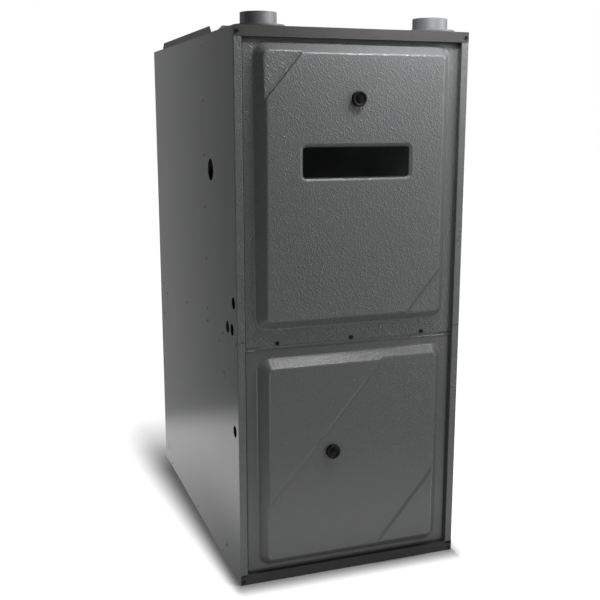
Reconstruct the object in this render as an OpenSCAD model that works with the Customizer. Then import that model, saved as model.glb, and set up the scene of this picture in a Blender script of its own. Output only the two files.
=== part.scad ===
// Upflow condensing forced air gas furnace in a two-door sheet-metal cabinet.
// X runs to the viewer's right, Y to the back, Z up. The origin is the middle of the footprint.
// Depths named "from the front" are measured back from the face of the front strips.

/* [Cabinet] */
// Width of the cabinet over its side panels
cab_w = 444.5; // [436:0.5:460]
// Depth of the cabinet from the front strips to the back panel
cab_d = 711.2; // [705:0.2:735]
// Height of the cabinet without collars and duct flanges
cab_h = 1016; // [1008:1:1060]
// Thickness of the cabinet and door sheet
sheet = 1; // [0.8:0.1:1.2]
// Width of the front strip on each side of the doors
strip_w = 14; // [12:0.5:16]
// Depth of the pocket that the doors sit in
pocket_d = 28; // [26:0.5:30]
// Width of the ledge behind the door edges
ledge_w = 12; // [10:0.5:14]
// Height of the top face of the blower deck
deck_z = 470.5; // [468:0.5:474]
// Height of the deck's flanges
deck_flange_h = 38; // [34:1:42]
// Distance of the vestibule panel from the front
vestibule_d = 217; // [214:0.5:219]
// Width of the panel flanges that are riveted to the sides
flange_w = 20; // [16:0.5:24]
// Radius of a rivet head
rivet_r = 2.2; // [2:0.1:2.6]
// Pitch of the rivets in the vestibule panel
rivet_pitch = 101.6; // [100:0.1:103]

/* [Rails] */
// Height of the top rail's face
top_rail_h = 18.5; // [17:0.5:20]
// Height of the bottom rail's face
bottom_rail_h = 19.5; // [18:0.5:20]
// Height of the bottom rail's end tabs
rail_tab_h = 14.5; // [13:0.5:16]
// Thickness of the rail sheet
rail_t = 1.2; // [1:0.1:1.5]
// Distance of the rails' ends from the cabinet's sides
rail_end_inset = 1; // [0.5:0.1:1.5]
// Depth of the rails' flanges
rail_flange_d = 20; // [18:0.5:22]
// Distance of a rail screw from the cabinet's side and from the rail's outer edge
rail_screw_inset = 6; // [5.5:0.1:6.5]

/* [Side openings] */
// Gas pipe hole: distance from the front, height
gas_hole = [174.3, 767.8]; // [160:0.1:780]
// Radius of the gas pipe hole
gas_hole_r = 20.6; // [19:0.1:22]
// Line voltage hole: distance from the front, height
line_hole = [26, 296]; // [20:0.1:320]
// Thermostat wire hole: distance from the front, height
wire_hole = [36.5, 486.5]; // [30:0.1:500]
// Drain hole: distance from the front, height
drain_hole = [68, 485.5]; // [60:0.1:500]
// Upper drain hole: distance from the front, height
high_hole = [24.9, 537.8]; // [20:0.1:560]
// Radius of the small holes
port_r = 11.1; // [10:0.1:11.3]
// Depth of the marked side return opening
return_mark_d = 581; // [560:1:590]
// Height of the marked side return opening
return_mark_h = 355.6; // [340:0.1:370]
// Distance of the return opening's marks from the front
return_mark_front = 91; // [80:1:100]
// Height of the return opening's lower marks
return_mark_z = 36; // [30:1:45]

/* [Top] */
// Width of the supply opening
supply_w = 406.4; // [390:0.2:410]
// Depth of the supply opening
supply_d = 484; // [470:1:486]
// Distance of the supply opening from the front
supply_front = 220; // [218:0.5:224]
// Height of the duct flanges above the cabinet
duct_flange_h = 19; // [15:0.5:25]
// Distance of the pipe collars' axes from the cabinet's sides
collar_side = 57.3; // [57:0.1:60]
// Distance of the pipe collars' axes from the front
collar_front = 45; // [43:0.5:48]
// Outside radius of a pipe collar
collar_r = 32; // [31.8:0.1:33]
// Radius of a collar's bore, for a pipe of 60.3 mm outside diameter
collar_bore_r = 30.4; // [30.3:0.05:30.6]
// Height of a collar above the cabinet
collar_h = 25; // [22:0.5:35]
// Thickness of a collar's flange
collar_flange_t = 4; // [3:0.5:5]
// Radius of a collar's flange
collar_flange_r = 46; // [44:0.5:47]

/* [Doors] */
// Distance of the doors' margins behind the front strips
door_recess = 8.5; // [7:0.5:10]
// Running gap around the doors
door_gap = 0.75; // [0.5:0.05:1]
// Depth of the doors' returns
door_return_d = 18; // [16:0.5:18.5]
// Height of the seam between the doors
seam_z = 453.5; // [452:0.5:455]
// Height of a raised pan above its margin
pan_rise = 21; // [18:0.5:23]
// Width of a pan's sloped side
pan_run = 18; // [16:0.5:20]
// Corner radius of a pan at its margin
pan_corner_r = 24; // [22:0.5:28]
// Step between the two levels of a pan
level_step = 4; // [3:0.5:5]
// Width of the slope between the two levels
level_run = 4; // [3:0.5:5]
// Angle of the diagonal steps from the horizontal
stripe_angle = 50; // [45:1:55]
// Width of the margin beside the upper pan
upper_side_margin = 21; // [20:0.5:24]
// Width of the margin over the upper pan
upper_top_margin = 6.5; // [5:0.5:10]
// Width of the margin under the upper pan
upper_low_margin = 34.5; // [32:0.5:38]
// Width of the low corner at the upper pan's top left
corner_left = 69; // [60:1:80]
// Width of the low corner at the upper pan's bottom right
corner_right = 66; // [60:1:80]
// Width of the margin beside the lower pan
lower_side_margin = 23; // [20:0.5:25]
// Width of the margin over the lower pan
lower_top_margin = 17; // [15:0.5:20]
// Width of the margin under the lower pan
lower_low_margin = 11; // [9:0.5:14]
// Place where the low band's left edge meets the lower pan's top, from the middle
band_top_x = 50.5; // [30:0.5:60]
// Place where the low band's right edge meets the lower pan's bottom, from the middle
band_low_x = 56; // [40:0.5:70]
// Thickness of the door insulation
pad_t = 10; // [8:0.5:12]
// Width of the badge plate
badge_w = 203; // [180:1:210]
// Height of the badge plate
badge_h = 52.5; // [48:0.5:56]
// Depth of the badge's middle below the upper door's top edge
badge_down = 210; // [200:0.5:230]
// Depth of the badge pocket
badge_pocket_d = 3.5; // [3:0.1:4]
// Thickness of the badge plate
badge_t = 2.5; // [2:0.1:2.8]
// Width of the badge pocket's sloped edge
badge_run = 6; // [4:0.5:7]
// Corner radius of the badge plate
badge_r = 5; // [3:0.5:7]
// Distance of the outer door screws from the middle
door_screw_x = 145; // [130:1:155]
// Height of the door screws above the upper door's lower edge
door_screw_up = 7; // [6:0.5:9]

/* [Sight glasses] */
// Radius of a sight glass bezel
bezel_r = 13.25; // [12.5:0.25:14]
// Height of a bezel in front of its door
bezel_h = 8; // [6:0.5:9]
// Radius of a bezel's neck
bezel_neck_r = 11; // [10.6:0.1:11.5]
// Radius of a bezel's bore
bezel_bore_r = 8.5; // [8:0.1:9]
// Depth of the upper sight glass below the upper door's top edge
upper_sight_down = 100.5; // [88:0.5:112]
// Place of the lower sight glass, from the middle
lower_sight_x = -42.5; // [-60:0.5:-30]
// Height of the lower sight glass
lower_sight_z = 248.5; // [230:0.5:260]

/* [Burners] */
// Number of burners and heat exchanger tubes
tube_count = 4; // [3:1:4]
// Pitch of the burners
tube_pitch = 76; // [72:0.5:80]
// Height of the burners' axes
burner_z = 880; // [870:1:890]
// Outside radius of a heat exchanger tube
tube_r = 22.2; // [20:0.1:24]
// Wall of a heat exchanger tube
tube_t = 1; // [0.8:0.1:1.5]
// Radius of a burner's head
burner_head_r = 21; // [18:0.5:23]
// Radius of a burner's throat
burner_throat_r = 12; // [10:0.5:14]
// Distance of the burners' mouths from the front
burner_front = 76; // [72:0.5:80]
// Distance of the burners' heads from the front
burner_back = 194; // [190:0.5:198]
// Distance of the burner rack's face from the front
rack_front = 130; // [126:0.5:134]
// Distance of the manifold's axis from the front
manifold_front = 50; // [46:0.5:52]
// Radius of the manifold pipe
manifold_r = 10.7; // [9:0.1:11.5]
// Radius of the gas valve's inlet bore
valve_port_r = 9.5; // [8:0.1:10.5]

/* [Heat exchanger] */
// Radius of the tubes' rear bend
rear_bend_r = 50; // [46:0.5:54]
// Radius of the tubes' front bend
front_bend_r = 45; // [40:0.5:50]
// Distance of the rear bend's centre from the front
rear_bend_d = 605; // [590:1:610]
// Distance of the front bend's centre from the front
front_bend_d = 320; // [312:1:340]
// Distance of the rear header from the front
header_d = 620; // [610:1:630]
// Depth of the rear header
header_depth = 66; // [50:1:70]
// Height of the secondary coil's bottom
coil_z = 530; // [520:1:540]
// Height of the secondary coil
coil_h = 72; // [60:1:76]
// Width of the secondary coil
coil_w = 300; // [280:1:310]
// Radius of a coil tube
coil_tube_r = 6.35; // [5:0.05:7]
// Number of coil tubes in a row
coil_columns = 6; // [4:1:7]
// Number of coil tube rows
coil_rows = 2; // [1:1:3]
// Number of coil fins
fin_count = 18; // [12:1:24]
// Thickness of a coil fin
fin_t = 0.8; // [0.5:0.1:1]

/* [Inducer] */
// Place of the inducer's axis, from the middle
inducer_x = 97; // [90:1:100]
// Height of the inducer's axis
inducer_z = 572; // [568:1:576]
// Smallest radius of the inducer housing
inducer_r = 66; // [64:1:70]
// Growth of the inducer housing's radius over its spiral
inducer_growth = 30; // [26:1:32]
// Depth of the inducer housing
inducer_depth = 68; // [60:1:70]
// Wall of the moulded plastic pieces
plastic_t = 2.5; // [2:0.1:3]
// Radius of the inducer wheel
inducer_wheel_r = 58; // [50:1:60]
// Width of the inducer wheel
inducer_wheel_w = 34; // [28:1:40]
// Number of blades on the inducer wheel
inducer_blades = 16; // [10:1:24]
// Radius of the inducer motor
inducer_motor_r = 42; // [36:0.5:45]
// Depth of the collector box
collector_depth = 40; // [36:0.5:42]
// Radius of the vent pipe's bends
vent_bend_r = 45; // [42:0.5:48]

/* [Blower] */
// Distance of the blower's axis from the front
blower_d = 400; // [392:1:410]
// Height of the blower's axis
blower_z = 228; // [226:1:236]
// Radius of the blower wheel
wheel_r = 127; // [120:1:130]
// Width of the blower wheel
wheel_w = 203; // [190:1:206]
// Number of blower blades
blade_count = 36; // [24:2:48]
// Radial depth of a blade
blade_depth = 20; // [16:0.5:24]
// Thickness of a blade
blade_t = 0.9; // [0.7:0.1:1.5]
// Width of the blower housing
housing_w = 236; // [230:1:244]
// Smallest radius of the blower housing
scroll_r = 140; // [136:1:144]
// Growth of the blower housing's radius over its spiral
scroll_growth = 75; // [65:1:80]
// Radius of the blower housing's inlets
inlet_r = 105; // [98:1:108]
// Lip radius of an inlet
inlet_lip = 10; // [7:0.5:11]
// Radius of the blower motor
motor_r = 68; // [60:0.5:70]
// Length of the blower motor
motor_l = 130; // [115:1:135]
// Radius of the blower shaft
shaft_r = 6.35; // [6:0.05:7]
// Radial clearance of a shaft in its bore
shaft_fit = 0.05; // [0.02:0.01:0.1]

/* [Controls] */
// Width of the control board
board_w = 150; // [130:1:160]
// Height of the control board
board_h = 120; // [100:1:130]
// Height of the control board's lower edge
board_z = 192; // [180:1:200]
// Distance of the control bracket from the front
bracket_d = 130; // [120:1:140]
// Place of the door switch, from the middle
switch_x = 150; // [140:1:160]
// Radius of the door switch's plunger
plunger_r = 3.5; // [3:0.1:4]
// Travel of a reset button
reset_travel = 2; // [1.5:0.1:3]
// Radius of a snap-disc switch
disc_switch_r = 8; // [7:0.5:9]

/* [Hidden] */
$fn = 48;
hull_fn = 32;
// Overlap that cutting tools take past a surface
cut = 1;
// Clearance between neighbouring sheets and loose fits
fit = 0.3;
// Radial clearance of a tight hole round a pin
snug = 0.05;

// Reference planes
half_w = cab_w / 2;
inner_half = half_w - sheet;
door_proud = pan_rise - door_recess;
glass_face = door_proud + bezel_h;
front_y = (glass_face - cab_d) / 2;
back_y = front_y + cab_d;
door_half = half_w - strip_w - door_gap;
ledge_y = front_y + pocket_d;
behind_ledge = ledge_y + sheet;
vestibule_y = front_y + vestibule_d;
margin_y = front_y + door_recess;
top_under = cab_h - sheet;
deck_under = deck_z - sheet;
top_rail_z = cab_h - top_rail_h;

// Door outlines
upper_bottom = seam_z + door_gap;
upper_top = top_rail_z - door_gap;
lower_bottom = bottom_rail_h + door_gap;
lower_top = seam_z - door_gap;
upper_pan_w = 2 * (door_half - upper_side_margin);
upper_pan_low = upper_bottom + upper_low_margin;
upper_pan_high = upper_top - upper_top_margin;
lower_pan_w = 2 * (door_half - lower_side_margin);
lower_pan_low = lower_bottom + lower_low_margin;
lower_pan_high = lower_top - lower_top_margin;
badge_z = upper_top - badge_down;
upper_sight_z = upper_top - upper_sight_down;
door_screw_z = upper_bottom + door_screw_up;
door_screw_r = 2.1;
door_screw_head_r = 3;
// Room that a cutting wedge takes across a whole door
wedge_reach = 900;

// Rows of rivets in the sides: distances from the front
deck_rivet_d = [16, 108.5, 225, 418.5, cab_d - 36.2];
rail_rivet_d = [134, cab_d - 79.2];
base_rivet_d = [134, 358, cab_d - 79.7];
rivet_proud = 0.6;
deck_rivet_z = deck_z - 6.5;
rail_rivet_z = deck_z - 26.5;
base_rivet_z = 8;
rivet_row_z = deck_z + 18;
rivet_margin = 5;
top_flange_h = 12;
rivet_rows = floor((top_under - top_flange_h - rivet_margin - rivet_row_z) / rivet_pitch) + 1;
base_flange_h = 17;

// Burner train
tube_xs = [for (i = [0 : tube_count - 1]) (i - (tube_count - 1) / 2) * tube_pitch];
burner_front_y = front_y + burner_front;
burner_back_y = front_y + burner_back;
manifold_y = front_y + manifold_front;
manifold_half = tube_xs[tube_count - 1] + manifold_r + 4;
rack_z = burner_z - 30;
rack_half = tube_xs[tube_count - 1] + 37;
rack_front_y = front_y + rack_front;
rack_h = 56;
rack_ear_w = 14;
valve_x0 = -150;
valve_w = 78;
valve_y = front_y + gas_hole[0];
valve_z = gas_hole[1];
valve_h = 62;
valve_d = 56;
valve_port_l = 22;
riser_x = valve_x0 + valve_w + 46;
knob_r = 13;
knob_h = 9;
knob_z = valve_z + valve_h / 2;
knob_post_r = 4;
knob_x = valve_x0 + 24;
orifice_r = 5.5;
orifice_l = 16;
burner_flare_r = 17;
burner_wall = 1.2;
reset_r = 2.5;
reset_z = burner_z + 18;
reset_x = rack_half - 9;
disc_depth = 14;
reset_face_y = rack_front_y - disc_depth;

// Heat exchanger
run2_z = burner_z - 2 * rear_bend_r;
run3_z = run2_z - 2 * front_bend_r;
header_y = front_y + header_d;
header_top = run3_z + tube_r + 14;
coil_front_y = vestibule_y + fit;
coil_half = coil_w / 2;
plate_t = 1.5;
coil_pitch_x = coil_w / coil_columns;
coil_pitch_z = coil_h / (coil_rows + 1);

// Inducer and vent
collector_y = vestibule_y - sheet - collector_depth;
collector_x0 = -120;
collector_x1 = 165;
collector_z0 = coil_z - 10;
collector_z1 = coil_z + coil_h + 8;
inducer_back_y = collector_y;
inducer_front_y = collector_y - inducer_depth;
inducer_mid_y = inducer_front_y + inducer_depth / 2;
vent_x = half_w - collar_side;
vent_front_y = front_y + collar_front;
vent_pipe_r = 30.15;
vent_pipe_t = 3;
neck_r = vent_pipe_r + snug + plastic_t;
neck_top = inducer_z + 78;
inducer_shaft_r = 4;
inducer_motor_l = 62;
inducer_motor_gap = 6;
inducer_motor_back = inducer_front_y - inducer_motor_gap;
inducer_motor_front = inducer_motor_back - inducer_motor_l;
fan_r = 34;
fan_w = 8;
fan_gap = 4;
hose_r = 3.5;
hose_bend_r = 14;
tap_x = -30;
tap_h = 14;
pressure_r = 34;
pressure_t = 24;
pressure_x = -98;
pressure_z = collector_z1 + pressure_r + 22;
pressure_y = vestibule_y - sheet - 30;
pressure_port_l = 16;
pressure_foot_w = 24;
pressure_foot_h = 20;
hose_z = collector_z1 + 46;
hose_y = pressure_y + 8;
trap_w = 56;
trap_d = 46;
trap_h = 112;
trap_x1 = collector_x0 - 4;
trap_y1 = vestibule_y - sheet;
drain_r = 9.5;
drain_bend_r = 24;
drain_x = trap_x1 - trap_w / 2;

// Blower
blower_y = front_y + blower_d;
housing_half = housing_w / 2;
scroll_end_r = scroll_r + scroll_growth;
scroll_steps = 27;
outlet_lip = 14;
disc_x = -40;
disc_t = 1.5;
ring_t = 3;
blade_lean = 26;
blade_steps = 5;
hub_r = 16;
hub_l = 32;
motor_x0 = 12;
band_w = 24;
band_t = 1.6;
arm_count = 3;
arm_w = 18;
arm_t = 2.5;
foot_l = 14;
shaft_in = 24;

// Controls
bracket_y = front_y + bracket_d;
board_x0 = lower_sight_x - board_w / 2;
standoff = 8;
board_t = 1.6;
board_y = bracket_y - standoff - board_t;
bracket_x1 = housing_half + snug + sheet;
bracket_x0 = -bracket_x1;
bracket_arm_l = 150;
bracket_arm_h = 26;
switch_z = deck_z - 24;
switch_w = 26;
switch_h = 16;
switch_d = 22;
plunger_tip_y = margin_y + sheet + fit;

doors_paint = "#70767a";
side_paint = "#8b8d8e";
rail_paint = "#454443";
zinc = "#b4b8ba";
steel = "#9a9d9f";
black_plastic = "#1c1d1f";
brass = "#b8923f";

// ---------------------------------------------------------------- shared forms

// Cylinders along the three axes, starting at the child's origin
module rod_x(r, l) rotate([0, 90, 0]) cylinder(r = r, h = l);
module rod_y(r, l) rotate([-90, 0, 0]) cylinder(r = r, h = l);

// Flat ring, drawn in the XY plane
module ring(r, bore) difference() {
    circle(r);
    circle(bore);
}

// A quarter bend in the XY plane about the origin, from +X to +Y
module bend(bend_r, r, angle = 90) {
    rotate_extrude(angle = angle) translate([bend_r, 0]) circle(r);
}

// On the right side and mirrored on the left
module both_sides() for (left = [0, 1]) mirror([left, 0, 0]) children();

// Rounded rectangle about its middle
module rounded_plate(w, h, r) {
    for (x = [-1, 1], y = [-1, 1])
        translate([x * (w / 2 - r), y * (h / 2 - r)]) circle(r);
    square([w - 2 * r, h], center = true);
    square([w, h - 2 * r], center = true);
}

// ---------------------------------------------------------------- cabinet shell

function small_holes() = [line_hole, wire_hole, drain_hole, high_hole];

// Plan of the right side: strip, return, ledge, wall and rear flange
module side_plan() {
    translate([half_w - strip_w, front_y]) square([strip_w, sheet]);
    translate([half_w - strip_w, front_y]) square([sheet, pocket_d]);
    translate([half_w - strip_w - ledge_w, ledge_y]) square([ledge_w + sheet, sheet]);
    translate([inner_half, front_y]) square([sheet, cab_d - sheet]);
    translate([half_w - flange_w, back_y - 2 * sheet]) square([flange_w, sheet]);
}

// Places of the rivets in a side, as distance from the front and height
function rivet_places() = concat(
    [for (i = [0 : rivet_rows - 1]) [vestibule_d + flange_w / 2, rivet_row_z + i * rivet_pitch]],
    [for (d = deck_rivet_d) [d, deck_rivet_z]],
    [for (d = rail_rivet_d) [d, rail_rivet_z]],
    [for (d = base_rivet_d) [d, base_rivet_z]]);

// Corner mark of the side return opening, turned into its corner
module return_marks() {
    mark_l = 14.5;
    mark_t = 2;
    for (a = [0, 1], b = [0, 1])
        translate([0, front_y + return_mark_front + a * return_mark_d, return_mark_z + b * return_mark_h])
            mirror([0, a, 0]) mirror([0, 0, b]) {
                translate([inner_half - cut, 0, 0]) cube([sheet + 2 * cut, mark_l, mark_t]);
                translate([inner_half - cut, 0, 0]) cube([sheet + 2 * cut, mark_t, mark_l]);
            }
}

module side_cuts() {
    // gas, wire and drain holes
    translate([inner_half - cut, front_y + gas_hole[0], gas_hole[1]])
        rod_x(gas_hole_r, sheet + 2 * cut);
    for (place = small_holes())
        translate([inner_half - cut, front_y + place[0], place[1]]) rod_x(port_r, sheet + 2 * cut);
    // rivet holes
    for (place = rivet_places())
        translate([inner_half - cut, front_y + place[0], place[1]])
            rod_x(rivet_shank_r + snug, sheet + 2 * cut);
    return_marks();
    // relief cut of the strip at the deck
    translate([half_w - strip_w - cut, front_y - cut, deck_z - strip_slit])
        cube([strip_w + cut - sheet, pocket_d + cut, strip_slit]);
    // the strip ends over the bottom rail
    translate([half_w - strip_w - ledge_w - cut, front_y - cut, -cut])
        cube([strip_w + ledge_w + cut - sheet, sheet + cut, bottom_rail_h + cut]);
    // screws of both rails
    for (z = [rail_screw_inset + 1, cab_h - rail_screw_inset - 4])
        translate([half_w - rail_screw_inset, front_y - cut, z])
            rod_y(rail_screw_r + snug, sheet + 2 * cut);
}

strip_slit = 1;
rivet_shank_r = 1.6;
rail_screw_r = 1.7;
rail_screw_head_r = 3;

module side_panel() difference() {
    linear_extrude(top_under) side_plan();
    side_cuts();
}

module left_side_panel() color(side_paint) mirror([1, 0, 0]) side_panel();
module right_side_panel() color(side_paint) side_panel();

// Back sheet with two shallow stiffening folds and hemmed top edge
module back_panel() color(side_paint) {
    rib_x = inner_half / 2;
    rib_w = 16;
    rib_d = 5;
    translate([-half_w, back_y - sheet, 0]) cube([cab_w, sheet, top_under]);
    for (x = [-rib_x, rib_x])
        translate([x - rib_w / 2, back_y - sheet - rib_d, deck_z + flange_w]) difference() {
            cube([rib_w, rib_d, top_under - deck_z - 2 * flange_w]);
            translate([sheet, sheet, -cut])
                cube([rib_w - 2 * sheet, rib_d, top_under - deck_z]);
        }
}

// Upturned flange of the supply opening, with 45 degree ends
module duct_flange(l) {
    total_h = duct_flange_h + sheet;
    rotate([90, 0, 0]) linear_extrude(sheet)
        polygon([[-l / 2, 0], [l / 2, 0], [l / 2 - total_h, total_h], [total_h - l / 2, total_h]]);
}

module top_plate() color(side_paint) {
    supply_y = front_y + supply_front;
    plate_front = front_y + rail_flange_d + fit;
    difference() {
        translate([-half_w, plate_front, top_under]) cube([cab_w, back_y - plate_front, sheet]);
        translate([-supply_w / 2, supply_y, top_under - cut]) cube([supply_w, supply_d, sheet + 2 * cut]);
        collar_holes();
    }
    // joggled tongue under the top rail's flange, between the ledges
    difference() {
        translate([-inner_half + fit, front_y + sheet + fit, top_under - sheet])
            cube([2 * (inner_half - fit), rail_flange_d + flange_w, sheet]);
        collar_holes();
        ledge_notch();
    }
    // flanges that reach down inside the side panels
    both_sides() translate([inner_half - sheet - snug, plate_front, top_under - top_flange_h])
        cube([sheet, cab_d - rail_flange_d - 3 * sheet, top_flange_h]);
    // duct flanges round the supply opening
    translate([0, supply_y + sheet, top_under]) duct_flange(supply_w);
    translate([0, supply_y + supply_d, top_under]) duct_flange(supply_w);
    for (x = [-supply_w / 2 + sheet, supply_w / 2])
        translate([x, supply_y + supply_d / 2, top_under]) rotate([0, 0, -90]) duct_flange(supply_d);
}

// Face of a rail with its end tabs over the strips
module rail_face(h, tab_from, tab_to) {
    body_half = half_w - strip_w;
    end_half = half_w - rail_end_inset;
    translate([-body_half, front_y - rail_t, 0]) cube([2 * body_half, rail_t, h]);
    translate([-end_half, front_y - rail_t, tab_from]) cube([2 * end_half, rail_t, tab_to - tab_from]);
}

module rail_screw_holes(z) {
    for (side = [-1, 1])
        translate([side * (half_w - rail_screw_inset), front_y - rail_t - cut, z])
            rod_y(rail_screw_r + snug, rail_t + 2 * cut);
}

module top_rail() color(rail_paint) difference() {
    lip = door_recess - door_gap;
    union() {
        translate([0, 0, top_rail_z]) rail_face(top_rail_h, 1, top_rail_h);
        translate([rail_end_inset - half_w, front_y - rail_t, top_under])
            cube([cab_w - 2 * rail_end_inset, rail_flange_d + rail_t, sheet]);
        translate([-half_w + strip_w + door_gap, front_y - rail_t, top_rail_z])
            cube([2 * door_half, lip + rail_t, rail_t]);
    }
    rail_screw_holes(cab_h - rail_screw_inset - 4);
    collar_holes();
}

module bottom_rail() color(rail_paint) difference() {
    lip = door_recess - door_gap;
    union() {
        rail_face(bottom_rail_h, 0, rail_tab_h);
        translate([-half_w + strip_w + door_gap, front_y - rail_t, 0])
            cube([2 * door_half, rail_flange_d + rail_t, rail_t]);
        translate([-half_w + strip_w + door_gap, front_y - rail_t, bottom_rail_h - rail_t])
            cube([2 * door_half, lip + rail_t, rail_t]);
    }
    rail_screw_holes(rail_screw_inset + 1);
}

base_front_y = front_y + rail_flange_d + fit;
return_side_margin = 32.25;
return_front_margin = 85;
return_rear_margin = 66.2;
return_w = cab_w - 2 * return_side_margin;
return_d = cab_d - return_front_margin - return_rear_margin;
return_y = front_y + return_front_margin;

module base_pan() color(zinc) {
    pan_back = back_y - 2 * sheet - snug;
    pan_half = inner_half - snug;
    difference() {
        translate([-pan_half, base_front_y, 0]) cube([2 * pan_half, pan_back - base_front_y, sheet]);
        translate([-return_w / 2, return_y, -cut]) cube([return_w, return_d, sheet + 2 * cut]);
        ledge_notch();
    }
    both_sides() translate([pan_half - sheet, behind_ledge + fit, 0])
        cube([sheet, pan_back - behind_ledge - fit, base_flange_h]);
    translate([-pan_half, pan_back - sheet, 0]) cube([2 * pan_half, sheet, base_flange_h]);
    difference() {
        translate([-pan_half, behind_ledge + fit, 0]) cube([2 * pan_half, sheet, base_flange_h]);
        ledge_notch();
    }
}

// Room for the front strips' returns and ledges
module ledge_notch() {
    both_sides() translate([half_w - strip_w - ledge_w - fit, front_y - cut, -cut])
        cube([strip_w + ledge_w + fit + cut, pocket_d + sheet + cut + snug, cab_h]);
}

module bottom_return_panel() color(zinc) {
    overlap = 9;
    tab_w = 40;
    difference() {
        translate([-return_w / 2 - overlap, return_y - overlap, sheet])
            cube([return_w + 2 * overlap, return_d + 2 * overlap, sheet]);
        // finger hole
        translate([0, return_y + tab_w, 0]) cylinder(r = port_r, h = 4 * sheet);
    }
    for (x = [-return_w / 2 - overlap, return_w / 2 + overlap - sheet])
        translate([x, return_y - overlap, sheet]) cube([sheet, return_d + 2 * overlap, overlap]);
}

outlet_front_y = blower_y + sheet;
outlet_back_y = blower_y + scroll_end_r - sheet;

module blower_deck() color(zinc) {
    deck_half = inner_half - snug;
    deck_back = back_y - 2 * sheet - snug;
    deck_front = behind_ledge + snug;
    flange_z = deck_z - deck_flange_h;
    difference() {
        union() {
            translate([-deck_half, deck_front, deck_under])
                cube([2 * deck_half, deck_back - deck_front, sheet]);
            // front flange that takes the door screws
            translate([-deck_half, deck_front, flange_z]) cube([2 * deck_half, sheet, deck_flange_h]);
            // side flanges
            both_sides() translate([deck_half - sheet, deck_front, flange_z])
                cube([sheet, deck_back - deck_front, deck_flange_h]);
            translate([-deck_half, deck_back - sheet, flange_z]) cube([2 * deck_half, sheet, deck_flange_h]);
        }
        // blower outlet
        translate([-housing_half + sheet, outlet_front_y, deck_under - cut])
            cube([housing_w - 2 * sheet, outlet_back_y - outlet_front_y, sheet + 2 * cut]);
        // door screws and door switch plunger
        for (x = [-door_screw_x, 0, door_screw_x])
            translate([x, deck_front - cut, door_screw_z]) rod_y(door_screw_r + fit, sheet + 2 * cut);
        translate([switch_x, deck_front - cut, switch_z]) rod_y(plunger_r + fit, sheet + 2 * cut);
        // wire hole between the compartments
        translate([-inner_half + 3 * flange_w, front_y + 4 * flange_w, deck_under - cut])
            cylinder(r = port_r, h = sheet + 2 * cut);
    }
}

module vestibule_panel() color(zinc) difference() {
    panel_half = inner_half - sheet - 2 * snug;
    union() {
        translate([-inner_half + snug, vestibule_y - sheet, deck_z])
            cube([2 * (inner_half - snug), sheet, top_under - deck_z - top_flange_h - snug]);
        translate([-panel_half, vestibule_y - sheet, deck_z])
            cube([2 * panel_half, sheet, top_under - sheet - deck_z]);
        both_sides() translate([inner_half - snug - sheet, vestibule_y - sheet, deck_z])
            cube([sheet, flange_w + sheet, top_under - deck_z - top_flange_h - snug]);
        translate([-panel_half, vestibule_y - flange_w, deck_z]) cube([2 * panel_half, flange_w, sheet]);
    }
    for (x = tube_xs)
        translate([x, vestibule_y - sheet - cut, burner_z]) rod_y(tube_r + snug, sheet + 2 * cut);
    translate([-coil_half + flange_w, vestibule_y - sheet - cut, coil_z + plate_t])
        cube([coil_w - 2 * flange_w, sheet + 2 * cut, coil_h - 2 * plate_t]);
}

// ---------------------------------------------------------------- fasteners and collars

module collar_places() {
    for (side = [-1, 1])
        translate([side * (half_w - collar_side), front_y + collar_front, 0]) children();
}

collar_screw_r = 1.8;
collar_screw_head_r = 3.6;
collar_screw_circle = (collar_r + collar_flange_r) / 2 + 0.5;
collar_screw_angles = [20, 90, 160];
// Lower end of the collars, over the upper door's top edge
collar_low = upper_top + 1.5;
// Length of the inner pipe inside a collar
pipe_insert = 8;
collar_stop_t = 1.5;

module collar_screw_places() {
    collar_places() for (a = collar_screw_angles)
        rotate([0, 0, a]) translate([collar_screw_circle, 0, 0]) children();
}

// Room for the collars and their screws in the top sheets
module collar_holes() translate([0, 0, cab_h / 2]) {
    collar_places() cylinder(r = collar_r + snug, h = cab_h);
    collar_screw_places() cylinder(r = collar_screw_r + snug, h = cab_h);
}

module cabinet_screws() color(zinc) {
    head_h = 1.8;
    for (side = [-1, 1], z = [rail_screw_inset + 1, cab_h - rail_screw_inset - 4])
        translate([side * (half_w - rail_screw_inset), front_y - rail_t, z]) {
            translate([0, -head_h, 0]) rod_y(rail_screw_head_r, head_h);
            rod_y(rail_screw_r, rail_t + sheet);
        }
    collar_screw_places() {
        translate([0, 0, cab_h + collar_flange_t]) cylinder(r = collar_screw_head_r, h = head_h);
        translate([0, 0, cab_h - 2 * sheet]) cylinder(r = collar_screw_r, h = collar_flange_t + 2 * sheet);
    }
}

module side_rivets() color(steel) both_sides() for (place = rivet_places())
    translate([0, front_y + place[0], place[1]]) {
        translate([half_w, 0, 0]) rod_x(rivet_r, rivet_proud);
        translate([inner_half, 0, 0]) rod_x(rivet_shank_r, sheet);
    }

module hole_plugs() color(black_plastic) {
    for (place = concat([gas_hole], small_holes())) {
        r = place == gas_hole ? gas_hole_r : port_r;
        translate([inner_half - 2, front_y + place[0], place[1]]) rod_x(r - snug, 2 + sheet);
        translate([inner_half - 2, front_y + place[0], place[1]]) rod_x(r + 1, 2);
    }
}

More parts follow.
